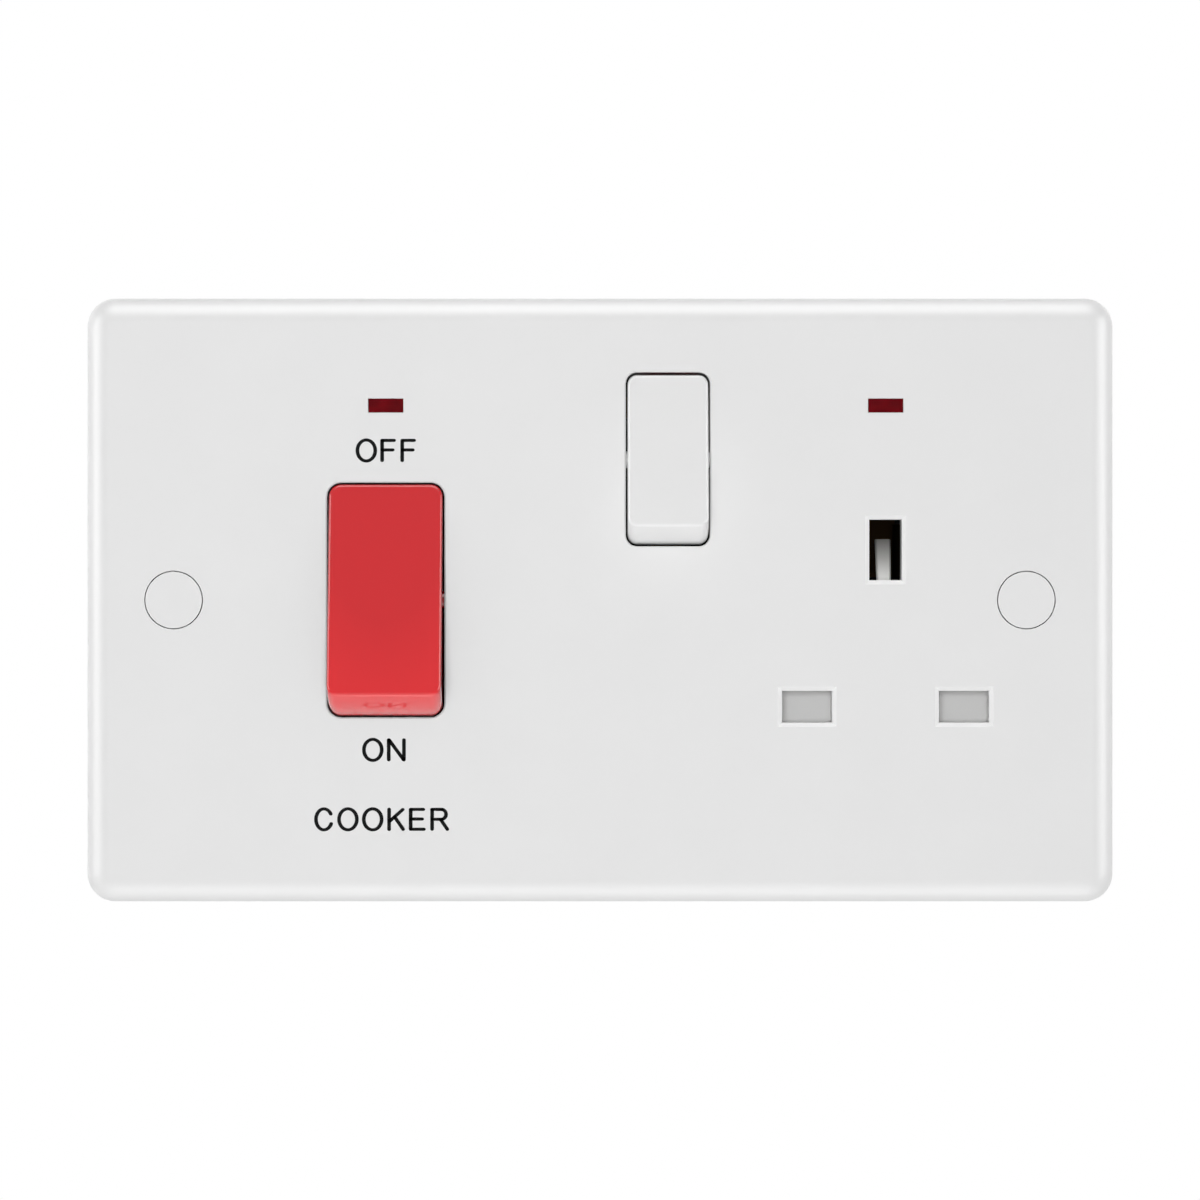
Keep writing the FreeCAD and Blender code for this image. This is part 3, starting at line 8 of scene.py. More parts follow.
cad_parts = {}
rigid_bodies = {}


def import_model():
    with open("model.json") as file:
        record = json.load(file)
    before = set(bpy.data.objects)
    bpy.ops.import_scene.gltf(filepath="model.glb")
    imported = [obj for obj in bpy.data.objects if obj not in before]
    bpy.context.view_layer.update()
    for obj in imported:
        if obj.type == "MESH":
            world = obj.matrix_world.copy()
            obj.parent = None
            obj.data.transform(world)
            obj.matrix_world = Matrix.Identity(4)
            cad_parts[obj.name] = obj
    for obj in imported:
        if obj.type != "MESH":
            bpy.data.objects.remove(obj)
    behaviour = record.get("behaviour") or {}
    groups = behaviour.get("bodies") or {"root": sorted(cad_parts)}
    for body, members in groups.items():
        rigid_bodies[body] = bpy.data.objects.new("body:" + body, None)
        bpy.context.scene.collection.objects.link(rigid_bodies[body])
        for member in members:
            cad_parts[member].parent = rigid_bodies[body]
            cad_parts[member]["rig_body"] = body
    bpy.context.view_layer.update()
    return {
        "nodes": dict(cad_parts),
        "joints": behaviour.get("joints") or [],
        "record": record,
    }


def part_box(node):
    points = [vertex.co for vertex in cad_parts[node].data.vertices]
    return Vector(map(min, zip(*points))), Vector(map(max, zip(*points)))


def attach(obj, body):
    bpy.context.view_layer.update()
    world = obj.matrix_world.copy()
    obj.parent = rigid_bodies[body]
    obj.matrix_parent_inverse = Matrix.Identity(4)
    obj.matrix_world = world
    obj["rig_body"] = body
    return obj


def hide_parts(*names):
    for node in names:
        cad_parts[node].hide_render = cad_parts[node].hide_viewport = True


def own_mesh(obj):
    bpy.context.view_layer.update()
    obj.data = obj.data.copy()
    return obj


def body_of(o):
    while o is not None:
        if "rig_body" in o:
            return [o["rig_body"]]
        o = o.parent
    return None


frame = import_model()
NODES = frame["nodes"]

MM = 0.001

# Camera: straight on, level with the middle of the plate
CAMERA_DISTANCE = 710 * MM  # from the plate's front face
VIEW_WIDTH = 169.7 * MM  # seen across the picture at the front face
SENSOR_WIDTH = 36.0

# Stage and light
FLOOR_Z = -0.95
FLOOR_SIZE = 4.0
FLOOR_COLOUR = (0.85, 0.85, 0.85)
FLOOR_GLOW = 0.90
BACKGROUND_COLOUR = (1, 1, 1)
BACKGROUND_STRENGTH = 1.0
SKY_STRENGTH = 0.28  # of the background as a source of light
SOFT_BOXES = {  # place and edge length in metres, and power in watts
    "key": ((-0.07, -1.20, 0.06), 0.45, 8.55),
    "left": ((-0.69, 0.12, 0), 0.40, 1.35),
    "right": ((0.69, 0.12, 0), 0.40, 1.1),
    "top": ((0, 0.12, 0.69), 0.40, 1.7),
    "bottom": ((0, -0.10, -0.70), 0.45, 0.95),
    "rear_left": ((-0.60, 0.60, 0.25), 0.30, 3.0),
    "rear_right": ((0.60, 0.60, 0.25), 0.30, 3.0),
}
CARDS = {  # place, edge length and brightness of the cards that show only in reflections
    "left": ((-0.70, -0.25, 0.12), 0.50, 4.8),
    "right": ((0.68, -0.30, 0.12), 0.50, 5.1),
    "top": ((0, -0.31, 0.67), 0.60, 5.2),
    "bottom": ((0, -0.36, -0.64), 0.60, 1.7),
}

# Colours
WHITE = (0.78, 0.78, 0.78)
ROCKER_WHITE = (0.84, 0.84, 0.84)
RED = (0.66, 0.005, 0.011)
# Painted light: the red where the rocker's face is brightest
PAINTED_LIGHT_RED = (0.765, 0.008, 0.014)
# Painted shade on the red rocker's flanks
PAINTED_SHADE_RED = (0.42, 0.004, 0.008)
# Painted reflection of the plate and painted light from below, on the red rocker's lower end wall
PAINTED_REFLECTION_RED = (0.86, 0.075, 0.08)
BOUNCE_GREY = (0.20, 0.20, 0.20)  # of the light that the red rocker gives back to what is around it
DARK = (0.022, 0.019, 0.017)
SHUTTER_GREY = (0.57, 0.57, 0.566)
# Painted light at the foot of the shutter's ramp
RAMP_PAINTED_LIGHT_GREY = (0.73, 0.73, 0.71)
# Painted shade at the crest of the shutter's ramp, deep in the slot
RAMP_PAINTED_SHADE_GREY = (0.16, 0.157, 0.15)
CREAM = (0.70, 0.66, 0.55)
TAN = (0.55, 0.38, 0.22)
LENS_RED = (0.13, 0.0012, 0.004)
GLASS_WHITE = (0.85, 0.82, 0.78)
INK = (0.002, 0.002, 0.0022)
BRASS = (0.72, 0.50, 0.20)
DULL_BRASS = (0.10, 0.06, 0.03)
STEEL = (0.45, 0.45, 0.46)
PLATED_STEEL = (0.62, 0.62, 0.60)

# Painted light, shade and reflection over a part
RED_MIDDLE = Vector((-30.3, 0, 10.0)) * MM  # middle of the painted light on the cooker's rocker, where its face is least bright
RED_STRETCH = (1.6, 0, 1)  # how much faster the painted light on the red changes across than upwards
RED_NEAR = 13 * MM  # stretched distance from the middle to where the painted light makes the red start to get brighter
RED_FAR = 24 * MM  # and to where the painted light is brightest
RED_FLANK = 8.0 * MM  # from the middle across to the flanks, where the painted shade lies
RED_FADE = 0.2 * MM  # width over which the painted shade of the flanks sets in
RED_END_FIRST = -22.9 * MM  # upwards from the middle, where the face rounds over to the lower end wall and the painted reflection starts
RED_END_LAST = -23.3 * MM
RAMP_DEPTH = 3.0 * MM  # from the front of the shutter to the crest of its ramp
RAMP_FOOT = 0.06  # share of that depth where the foot's painted light lies

# Plastics
PLASTIC_IOR = 1.5
PLASTIC_GLOSS = 0.5
PLASTIC_SPREAD = 0.008  # how far the colour varies
GRAIN_DETAIL = 2.0
GRAIN_STRENGTH = 0.2
CLOUD_SCALE = 90.0  # of the noise that varies the colour
CLOUD_DETAIL = 3.0
CLOUD_DARK = 0.3  # level of the noise where the colour is darkest
CLOUD_LIGHT = 0.7
RED_FINISH = {"roughness": 0.015, "grain": 2500.0, "relief": 0.002 * MM, "gloss": 0.45}
SHUTTER_FINISH = {"roughness": 0.4, "grain": 2000.0, "relief": 0.01 * MM}
PLASTICS = {
    "white_moulding": {"colour": WHITE, "roughness": 0.40, "grain": 2500.0, "relief": 0.01 * MM},
    "white_rocker": {"colour": ROCKER_WHITE, "roughness": 0.15, "grain": 2500.0, "relief": 0.01 * MM},
    "dark_moulding": {"colour": DARK, "roughness": 0.5, "grain": 1500.0, "relief": 0.02 * MM,
                      "spread": 0.15, "gloss": 0.15},
    "plunger_plastic": {"colour": CREAM, "roughness": 0.4, "grain": 2000.0, "relief": 0.01 * MM},
    "resistor_body": {"colour": TAN, "roughness": 0.5, "grain": 2000.0, "relief": 0.02 * MM,
                      "spread": 0.05},
    "flash_red": {"colour": RED, "roughness": 0.15, "grain": 2500.0, "relief": 0.004 * MM},
    "print_ink": {"colour": INK, "roughness": 0.5, "grain": 3000.0, "relief": 0.005 * MM,
                  "spread": 0.1, "gloss": 0.1},
    "floor_paint": {"colour": FLOOR_COLOUR, "roughness": 0.7, "grain": 300.0, "relief": 0.05 * MM},
}

# Metals
METAL_CLOUD_SCALE = 400.0
METAL_DETAIL = 4.0
METAL_SPREAD = 0.08
METAL_RELIEF = 0.02 * MM
METAL_STRENGTH = 0.3
METALS = {
    "brass": {"colour": BRASS, "roughness": 0.30, "grain": 1500.0},
    "dull_brass": {"colour": DULL_BRASS, "roughness": 0.55, "grain": 1500.0},
    "plated_steel": {"colour": PLATED_STEEL, "roughness": 0.28, "grain": 1500.0},
    "spring_steel": {"colour": STEEL, "roughness": 0.3, "grain": 3000.0},
}

# Lenses and lamps of the neons
CLEAR_DETAIL = 2.0
LENS_ROUGHNESS = 0.12
LENS_GLOSS = 0.03
LENS_CLOUD_SCALE = 500.0
LENS_SPREAD = 0.25
GLASS_ROUGHNESS = 0.03
GLASS_CLEARNESS = 0.9
GLASS_CLOUD_SCALE = 300.0
GLASS_SPREAD = 0.03

# Smooth shading of the rounds
WELD_DISTANCE = 0.002 * MM
SHARP_EDGE = math.radians(25)  # the least angle of a true edge

# Coil springs of round wire
WIRE = 0.4 * MM  # thickness
WIRE_SIDES = 8
COIL_STEPS = 24  # in each turn
COIL_TURNS = {
    "cooker_plunger_spring_live": 5,
    "cooker_plunger_spring_neutral": 5,
    "socket_plunger_spring": 5,
    "shutter_spring": 6,
}

# Red band on the upper end of the white rocker, which shows when the socket is on
FLASH_FIRST = math.radians(6.5)  # angles about the pivot from straight up, towards the front
FLASH_LAST = math.radians(-18)
FLASH_HALF_WIDTH = 4.1 * MM
FLASH_THICKNESS = 0.01 * MM
FLASH_STEPS = 12

# Printed words on the plate, drawn with a pen that is a little wider than it is high
PEN_WIDTH = 0.53 * MM
PEN_HEIGHT = 0.45 * MM
PRINT_THICKNESS = 0.012 * MM
PRINT_WELD = PRINT_THICKNESS / 10
FULL_CIRCLE = 360
ARC_STEPS = 48
CAP_STEPS = 10  # in each round end of a stroke
WORDS = {  # baseline, then each letter and its left side, in millimetres
    "off": (19.51, [("O", -34.57), ("F", -31.08), ("F", -28.24)]),
    "on": (-22.83, [("O", -33.65), ("N", -30.14)]),
    "cooker": (-32.65, [("C", -40.43), ("O", -37.17), ("O", -33.67), ("K", -30.09), ("E", -27.04),
                        ("R", -24.01)]),
}

# Middle lines of each letter's strokes, in millimetres from its left side and its baseline.
# A straight stroke is its two ends. An arc is its middle, its radii, and its first and last angle.
LETTERS = {
    "C": ([], [((1.39, 1.63), (1.125, 1.48), 31, 336)]),
    "E": ([((0.265, 0.225), (0.265, 3.04)), ((0.265, 3.04), (2.05, 3.04)), ((0.265, 1.68), (1.89, 1.68)),
           ((0.265, 0.225), (2.14, 0.225))], []),
    "F": ([((0.265, 0.225), (0.265, 3.06)), ((0.265, 3.06), (1.955, 3.06)),
           ((0.265, 1.71), (1.765, 1.71))], []),
    "K": ([((0.265, 0.20), (0.265, 3.06)), ((0.40, 1.42), (2.20, 3.02)),
           ((1.08, 1.93), (2.25, 0.225))], []),
    "N": ([((0.265, 0.225), (0.265, 3.05)), ((0.31, 3.05), (2.37, 0.225)),
           ((2.415, 0.225), (2.415, 3.05))], []),
    "O": ([], [((1.525, 1.635), (1.26, 1.485), 0, FULL_CIRCLE)]),
    "R": ([((0.265, 0.225), (0.265, 3.04)), ((0.265, 3.04), (1.60, 3.04)), ((0.265, 1.64), (1.60, 1.64)),
           ((1.47, 1.62), (2.42, 0.225))], [((1.60, 2.34), (0.635, 0.70), -90, 90)]),
}


# Building blocks of materials
def new_material(name):
    """New material, its node tree and its surface shader."""
    material = bpy.data.materials.new(name)
    material.use_nodes = True
    tree = material.node_tree
    return material, tree, tree.nodes["Principled BSDF"]


def add_place(tree):
    """Place of each point in the object's own frame."""
    return tree.nodes.new("ShaderNodeTexCoord").outputs["Object"]


def add_axes(tree, vector):
    """Sockets with the three parts of a vector."""
    axes = tree.nodes.new("ShaderNodeSeparateXYZ")
    tree.links.new(vector, axes.inputs["Vector"])
    return axes.outputs


def add_noise(tree, scale, detail):
    """Noise that stays fixed to the object."""
    noise = tree.nodes.new("ShaderNodeTexNoise")
    noise.inputs["Scale"].default_value = scale
    noise.inputs["Detail"].default_value = detail
    tree.links.new(add_place(tree), noise.inputs["Vector"])
    return noise.outputs["Fac"]


def add_bump(tree, shader, noise, depth, strength):
    """Fine surface relief from the noise."""
    bump = tree.nodes.new("ShaderNodeBump")
    bump.inputs["Distance"].default_value = depth
    bump.inputs["Strength"].default_value = strength
    tree.links.new(noise, bump.inputs["Height"])
    tree.links.new(bump.outputs["Normal"], shader.inputs["Normal"])


def add_colours(tree, amount, stops):
    """Colour that runs through two or more stops as the amount grows."""
    ramp = tree.nodes.new("ShaderNodeValToRGB")
    elements = ramp.color_ramp.elements
    for place, (position, colour) in enumerate(stops):
        if place == len(elements):
            elements.new(position)
        elements[place].position = position
        elements[place].color = (*colour, 1)
    tree.links.new(amount, ramp.inputs["Fac"])
    return ramp.outputs["Color"]


def add_tint(tree, shader, noise, colour, spread):
    """Slight variation of the base colour, from darker to lighter by the noise."""
    darker = [channel * (1 - spread) for channel in colour]
    lighter = [channel * (1 + spread) for channel in colour]
    tint = add_colours(tree, noise, [(CLOUD_DARK, darker), (CLOUD_LIGHT, lighter)])
    tree.links.new(tint, shader.inputs["Base Color"])


def add_range(tree, value, first, last):
    """Amount from 0 to 1 as the value goes from first to last."""
    span = tree.nodes.new("ShaderNodeMapRange")
    span.inputs["From Min"].default_value = first
    span.inputs["From Max"].default_value = last
    tree.links.new(value, span.inputs["Value"])
    return span.outputs["Result"]


def add_mix(tree, amount, colour, other):
    """Colour that goes over to another one, the same all over, as the amount goes from 0 to 1."""
    mix = tree.nodes.new("ShaderNodeMix")
    mix.data_type = "RGBA"
    tree.links.new(amount, mix.inputs["Factor"])
    tree.links.new(colour, mix.inputs["A"])
    mix.inputs["B"].default_value = (*other, 1)
    return mix.outputs["Result"]


def add_vector_step(tree, operation, vector, constant):
    """Vector changed by a constant one."""
    step = tree.nodes.new("ShaderNodeVectorMath")
    step.operation = operation
    step.inputs[1].default_value = constant
    tree.links.new(vector, step.inputs[0])
    return step.outputs["Vector"]


def add_length(tree, vector):
    """Length of a vector."""
    length = tree.nodes.new("ShaderNodeVectorMath")
    length.operation = "LENGTH"
    tree.links.new(vector, length.inputs[0])
    return length.outputs["Value"]


def add_size(tree, value):
    """Size of a value without its sign."""
    size = tree.nodes.new("ShaderNodeMath")
    size.operation = "ABSOLUTE"
    tree.links.new(value, size.inputs[0])
    return size.outputs[0]


# Materials
def plastic(name, roughness, grain, relief, gloss=PLASTIC_GLOSS):
    """Plastic with a fine grain and without a colour yet, its node tree and its shader."""
    material, tree, shader = new_material(name)
    shader.inputs["Roughness"].default_value = roughness
    shader.inputs["IOR"].default_value = PLASTIC_IOR
    shader.inputs["Specular IOR Level"].default_value = gloss
    add_bump(tree, shader, add_noise(tree, grain, GRAIN_DETAIL), relief, GRAIN_STRENGTH)
    return material, tree, shader


def moulded(name, colour, roughness, grain, relief, spread=PLASTIC_SPREAD, gloss=PLASTIC_GLOSS):
    """Moulded plastic of one colour with slight unevenness."""
    material, tree, shader = plastic(name, roughness, grain, relief, gloss)
    add_tint(tree, shader, add_noise(tree, CLOUD_SCALE, CLOUD_DETAIL), colour, spread)
    return material


def metal(name, colour, roughness, grain):
    """Bare or plated metal with fine marks of working."""
    material, tree, shader = new_material(name)
    shader.inputs["Metallic"].default_value = 1.0
    shader.inputs["Roughness"].default_value = roughness
    add_tint(tree, shader, add_noise(tree, METAL_CLOUD_SCALE, METAL_DETAIL), colour, METAL_SPREAD)
    add_bump(tree, shader, add_noise(tree, grain, METAL_DETAIL), METAL_RELIEF, METAL_STRENGTH)
    return material


def red_material():
    """Glossy red, with painted light that makes it brighter away from its middle, a painted reflection
    and light that make it paler on the lower end, and painted shade that makes it deeper on the flanks.
    """
    material, tree, shader = plastic("red_moulding", **RED_FINISH)
    offset = add_vector_step(tree, "SUBTRACT", add_place(tree), RED_MIDDLE)
    # painted light: the red gets brighter away from its middle, towards the sides and the lower end
    distance = add_length(tree, add_vector_step(tree, "MULTIPLY", offset, RED_STRETCH))
    bright = add_range(tree, distance, RED_NEAR, RED_FAR)
    colour = add_colours(tree, bright, [(0, RED), (1, PAINTED_LIGHT_RED)])
    axes = add_axes(tree, offset)
    # painted reflection and light: paler red on the lower end wall
    below = add_range(tree, axes["Z"], RED_END_FIRST, RED_END_LAST)
    colour = add_mix(tree, below, colour, PAINTED_REFLECTION_RED)
    # painted shade: deeper red on the flanks
    painted_flank_shade = add_range(tree, add_size(tree, axes["X"]), RED_FLANK - RED_FADE, RED_FLANK)
    colour = add_mix(tree, painted_flank_shade, colour, PAINTED_SHADE_RED)
    path = tree.nodes.new("ShaderNodeLightPath")
    colour = add_mix(tree, path.outputs["Is Diffuse Ray"], colour, BOUNCE_GREY)
    tree.links.new(colour, shader.inputs["Base Color"])
    return material


def shutter_material(front_y):
    """Pale shutter plastic with painted light at the foot of its ramp and painted shade that gets darker
    up the ramp.
    """
    material, tree, shader = plastic("shutter_plastic", **SHUTTER_FINISH)
    depth = add_axes(tree, add_place(tree))["Y"]
    # painted shade that darkens the ramp as it goes deeper, after painted light at its foot
    amount = add_range(tree, depth, front_y, front_y + RAMP_DEPTH)
    stops = [(0, SHUTTER_GREY), (RAMP_FOOT, RAMP_PAINTED_LIGHT_GREY), (1, RAMP_PAINTED_SHADE_GREY)]
    tree.links.new(add_colours(tree, amount, stops), shader.inputs["Base Color"])
    return material


def lens_material():
    """Deep red plastic over an unlit lamp."""
    material, tree, shader = new_material("lens_red")
    shader.inputs["Roughness"].default_value = LENS_ROUGHNESS
    shader.inputs["Specular IOR Level"].default_value = LENS_GLOSS
    add_tint(tree, shader, add_noise(tree, LENS_CLOUD_SCALE, CLEAR_DETAIL), LENS_RED, LENS_SPREAD)
    return material


def glass_material():
    """Nearly clear glass."""
    material, tree, shader = new_material("lamp_glass")
    shader.inputs["Roughness"].default_value = GLASS_ROUGHNESS
    shader.inputs["Transmission Weight"].default_value = GLASS_CLEARNESS
    add_tint(tree, shader, add_noise(tree, GLASS_CLOUD_SCALE, CLEAR_DETAIL), GLASS_WHITE, GLASS_SPREAD)
    return material


def make_materials():
    """Materials of the slots, and those of the scene's own pieces, by name."""
    materials = {name: moulded(name, **finish) for name, finish in PLASTICS.items()}
    materials.update({name: metal(name, **finish) for name, finish in METALS.items()})
    materials["red_moulding"] = red_material()
    materials["shutter_plastic"] = shutter_material(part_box("shutter")[0].y)
    materials["red_lens"] = lens_material()
    materials["lamp_glass"] = glass_material()
    return materials


# Surfaces of the CAD nodes
def dress(materials):
    """Gives each CAD node the material of its slot, and the strips inside a duller brass."""
    for subpart in frame["record"]["subparts"]:
        name = subpart["node"]
        slot = subpart["material_slot"]
        if slot == "brass" and "terminal" not in name:
            slot = "dull_brass"
        data = NODES[name].data
        data.materials.clear()
        data.materials.append(materials[slot])


def shade_smoothly(node):
    """Even shading over the rounds of a CAD node, up to its true edges."""
    data = node.data
    for name in ("custom_normal", "sharp_face", "sharp_edge"):
        if name in data.attributes:
            data.attributes.remove(data.attributes[name])
    weld = node.modifiers.new("weld", "WELD")
    weld.merge_threshold = WELD_DISTANCE
    split = node.modifiers.new("true_edges", "EDGE_SPLIT")
    split.split_angle = SHARP_EDGE
    split.use_edge_sharp = False
    node.modifiers.new("even_normals", "WEIGHTED_NORMAL")


# New pieces
def add_piece(name, mesh, material):
    """Piece of one material, made from a finished mesh."""
    data = bpy.data.meshes.new(name)
    mesh.to_mesh(data)
    mesh.free()
    data.materials.append(material)
    piece = bpy.data.objects.new(name, data)
    bpy.context.scene.collection.objects.link(piece)
    return piece


# Printed words
def letter_strokes(letter, left, baseline):
    """Middle lines of a letter's strokes on the plate, and whether each one closes on itself."""
    lines, arcs = LETTERS[letter]
    strokes = [(list(line), False) for line in lines]
    for (mx, mz), (rx, rz), first, last in arcs:
        closed = last - first == FULL_CIRCLE
        count = ARC_STEPS if closed else ARC_STEPS + 1
        angles = [math.radians(first + (last - first) * step / ARC_STEPS) for step in range(count)]
        strokes.append(([(mx + rx * math.cos(a), mz + rz * math.sin(a)) for a in angles], closed))
    return [([Vector(((left + x) * MM, (baseline + z) * MM)) for x, z in points], closed)
            for points, closed in strokes]


def stroke_sections(points, closed, half):
    """Two edge points of the pen's track at each point of a stroke."""
    sections = []
    for place, point in enumerate(points):
        before = points[place - 1] if place or closed else point
        after = points[(place + 1) % len(points)] if place + 1 < len(points) or closed else point
        along = (after - before).normalized()
        side = Vector((-along.y, along.x)) * half
        sections.append((point - side, point + side))
    return sections


def round_end(end, edge):
    """Points of a half circle round the end of a stroke, from one edge point to the other."""
    arm = edge - end
    angles = [math.pi * step / CAP_STEPS for step in range(CAP_STEPS + 1)]
    return [end + Matrix.Rotation(angle, 2) @ arm for angle in angles]


def add_stroke(mesh, points, closed, y):
    """Flat pen track with round ends, worked out for a round pen and flattened to the pen's height."""
    tall = PEN_WIDTH / PEN_HEIGHT
    points = [Vector((point.x, point.y * tall)) for point in points]
    sections = stroke_sections(points, closed, PEN_WIDTH / 2)

    def add_face(corners):
        mesh.faces.new([mesh.verts.new((corner.x, y, corner.y / tall)) for corner in corners])

    for near, far in zip(sections, sections[1:] + sections[:1] * closed):
        add_face((near[0], far[0], far[1], near[1]))
    if not closed:
        add_face(round_end(points[0], sections[0][1]))
        add_face(round_end(points[-1], sections[-1][0]))


def print_word(word, front_y, ink):
    """Word printed on the plate's face."""
    baseline, letters = WORDS[word]
    mesh = bmesh.new()
    for letter, left in letters:
        for points, closed in letter_strokes(letter, left, baseline):
            add_stroke(mesh, points, closed, front_y - PRINT_THICKNESS)
    bmesh.ops.remove_doubles(mesh, verts=mesh.verts, dist=PRINT_WELD)
    piece = add_piece(f"print_{word}", mesh, ink)
    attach(piece, "unit")


# Springs
def across(along):
    """Two directions at right angles to a direction and to each other."""
    first = along.orthogonal().normalized()
    return first, along.cross(first)


def spring_ends(node, along):
    """Start of the middle line of a CAD spring along a direction, its length and its radius."""
    points = [vertex.co for vertex in node.data.vertices]
    reach = [point.dot(along) for point in points]
    middle = along * min(reach)
    for side in across(along):
        width = [point.dot(side) for point in points]
        middle += side * (min(width) + max(width)) / 2
    radius = max((point - middle - along * (point - middle).dot(along)).length for point in points)
    return middle, max(reach) - min(reach), radius


def coil_mesh(turns, start, along, length, radius):
    """Round wire wound about a line, with flat ends."""
    steps = turns * COIL_STEPS
    first, second = across(along)
    mesh = bmesh.new()
    rings = []
    for step in range(steps + 1):
        turn = 2 * math.pi * step / COIL_STEPS
        outward = first * math.cos(turn) + second * math.sin(turn)
        rise = WIRE / 2 + (length - WIRE) * step / steps
        centre = start + along * rise + outward * (radius - WIRE / 2)
        ring = []
        for side in range(WIRE_SIDES):
            angle = 2 * math.pi * side / WIRE_SIDES
            arm = outward * math.cos(angle) + along * math.sin(angle)
            ring.append(mesh.verts.new(centre + arm * WIRE / 2))
        rings.append(ring)
    for ring, after in zip(rings, rings[1:]):
        for side in range(WIRE_SIDES):
            other = (side + 1) % WIRE_SIDES
            mesh.faces.new((ring[side], ring[other], after[other], after[side])).smooth = True
    mesh.faces.new(rings[0])
    mesh.faces.new(rings[-1][::-1])
    bmesh.ops.recalc_face_normals(mesh, faces=mesh.faces)
    return mesh


def add_spring(joint, steel):
    """Round-wire coil in place of a joint's CAD spring, riding on the spring's body."""
    name = joint["deforming_nodes"][0]["node"]
    along = -Vector(joint["axis"]).normalized()
    start, length, radius = spring_ends(NODES[name], along)
    piece = add_piece(f"{name}_coil", coil_mesh(COIL_TURNS[name], start, along, length, radius), steel)
    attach(piece, body_of(NODES[name])[0])
    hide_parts(name)
    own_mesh(piece)


# Red band on the white rocker
def add_flash(red):
    """Thin red field on the upper end of the socket's rocker, which is round about its pivot."""
    joint = next(joint for joint in frame["joints"] if joint["child"] == "socket_rocker")
    pivot = Vector(joint["pos_m"])
    arms = [vertex.co - pivot for vertex in NODES["socket_rocker"].data.vertices]
    radius = max(math.hypot(arm.y, arm.z) for arm in arms) + FLASH_THICKNESS
    mesh = bmesh.new()
    rows = []
    for step in range(FLASH_STEPS + 1):
        angle = FLASH_FIRST + (FLASH_LAST - FLASH_FIRST) * step / FLASH_STEPS
        y = pivot.y - radius * math.sin(angle)
        z = pivot.z + radius * math.cos(angle)
        rows.append([mesh.verts.new((pivot.x + side * FLASH_HALF_WIDTH, y, z)) for side in (-1, 1)])
    for (left, right), (next_left, next_right) in zip(rows, rows[1:]):
        mesh.faces.new((left, right, next_right, next_left)).smooth = True
    piece = add_piece("on_flash", mesh, red)
    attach(piece, joint["child"])


# Camera, stage and light
def add_camera(front_y):
    """Camera in front of the plate's middle."""
    data = bpy.data.cameras.new("camera")
    data.sensor_width = SENSOR_WIDTH
    data.lens = SENSOR_WIDTH * CAMERA_DISTANCE / VIEW_WIDTH
    camera = bpy.data.objects.new("camera", data)
    camera.location = (0, front_y - CAMERA_DISTANCE, 0)
    camera.rotation_euler = (math.pi / 2, 0, 0)
    bpy.context.scene.collection.objects.link(camera)
    bpy.context.scene.camera = camera


def when_seen(tree, unseen, seen):
    """One value where a thing is seen, also by reflection or through glass, and one for its light."""
    path = tree.nodes.new("ShaderNodeLightPath")
    highest = path.outputs["Is Camera Ray"]
    for ray in ("Is Glossy Ray", "Is Transmission Ray"):
        greater = tree.nodes.new("ShaderNodeMath")
        greater.operation = "MAXIMUM"
        tree.links.new(highest, greater.inputs[0])
        tree.links.new(path.outputs[ray], greater.inputs[1])
        highest = greater.outputs[0]
    level = tree.nodes.new("ShaderNodeMapRange")
    level.inputs["To Min"].default_value = unseen
    level.inputs["To Max"].default_value = seen
    tree.links.new(highest, level.inputs["Value"])
    return level.outputs["Result"]


def add_floor(paint):
    """Pale floor far below the unit, out of the camera's sight from the front."""
    side = FLOOR_SIZE / 2
    data = bpy.data.meshes.new("floor")
    corners = [(x * side, y * side, FLOOR_Z) for x, y in ((-1, -1), (1, -1), (1, 1), (-1, 1))]
    data.from_pydata(corners, [], [(0, 1, 2, 3)])
    floor = bpy.data.objects.new("floor", data)
    tree = paint.node_tree
    shader = tree.nodes["Principled BSDF"]
    shader.inputs["Emission Color"].default_value = (*FLOOR_COLOUR, 1)
    tree.links.new(when_seen(tree, 0, FLOOR_GLOW), shader.inputs["Emission Strength"])
    data.materials.append(paint)
    bpy.context.scene.collection.objects.link(floor)


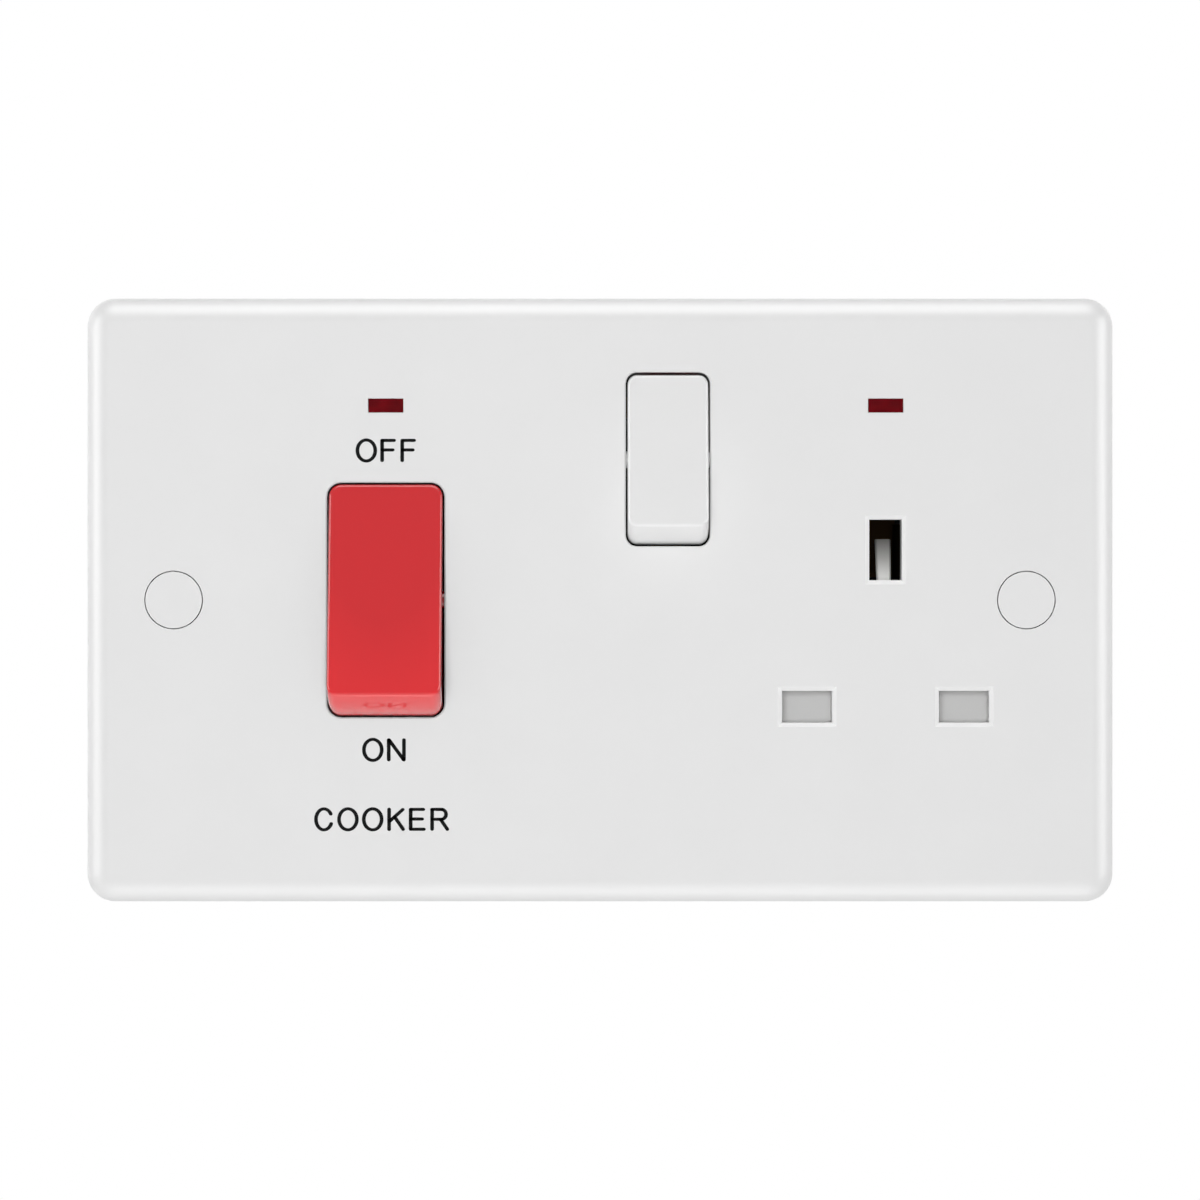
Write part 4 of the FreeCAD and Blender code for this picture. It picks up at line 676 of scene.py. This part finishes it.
def add_panel(name, place, size, power):
    """Square area light that faces the unit."""
    data = bpy.data.lights.new(name, "AREA")
    data.size = size
    data.energy = power
    light = bpy.data.objects.new(name, data)
    light.location = place
    light.rotation_euler = (-Vector(place)).to_track_quat("-Z", "Y").to_euler()
    bpy.context.scene.collection.objects.link(light)
    return light


def show_directly(light):
    """Lets a light show in glossy surfaces, without lighting what stands beside them."""
    light.data.use_nodes = True
    tree = light.data.node_tree
    path = tree.nodes.new("ShaderNodeLightPath")
    direct = tree.nodes.new("ShaderNodeMath")
    direct.operation = "LESS_THAN"
    direct.inputs[1].default_value = 1
    tree.links.new(path.outputs["Diffuse Depth"], direct.inputs[0])
    tree.links.new(direct.outputs[0], tree.nodes["Emission"].inputs["Strength"])


def add_lights():
    """Soft boxes in front, on the four sides and behind, and cards for the highlights on the edges."""
    for name, (place, size, power) in SOFT_BOXES.items():
        add_panel(f"soft_box_{name}", place, size, power).visible_glossy = False
    for name, (place, size, brightness) in CARDS.items():
        power = brightness * math.pi * size ** 2
        card = add_panel(f"card_{name}", place, size, power)
        card.visible_diffuse = False
        show_directly(card)


def add_world():
    """White surroundings: full white to the eye and in reflections, softer as light."""
    world = bpy.data.worlds.new("surroundings")
    world.use_nodes = True
    tree = world.node_tree
    background = tree.nodes["Background"]
    tree.links.new(when_seen(tree, SKY_STRENGTH, BACKGROUND_STRENGTH), background.inputs["Strength"])
    background.inputs["Color"].default_value = (*BACKGROUND_COLOUR, 1)
    bpy.context.scene.world = world


def build():
    """Dresses the CAD nodes and adds the new pieces, the camera, the stage and the light."""
    front_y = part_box("front_plate")[0].y
    materials = make_materials()
    dress(materials)
    for node in NODES.values():
        shade_smoothly(node)
    for joint in frame["joints"]:
        if "deforming_nodes" in joint:
            add_spring(joint, materials["spring_steel"])
    add_flash(materials["flash_red"])
    for word in WORDS:
        print_word(word, front_y, materials["print_ink"])
    add_camera(front_y)
    add_floor(materials["floor_paint"])
    add_world()
    add_lights()


build()
bpy.context.scene.view_settings.view_transform = "Standard"
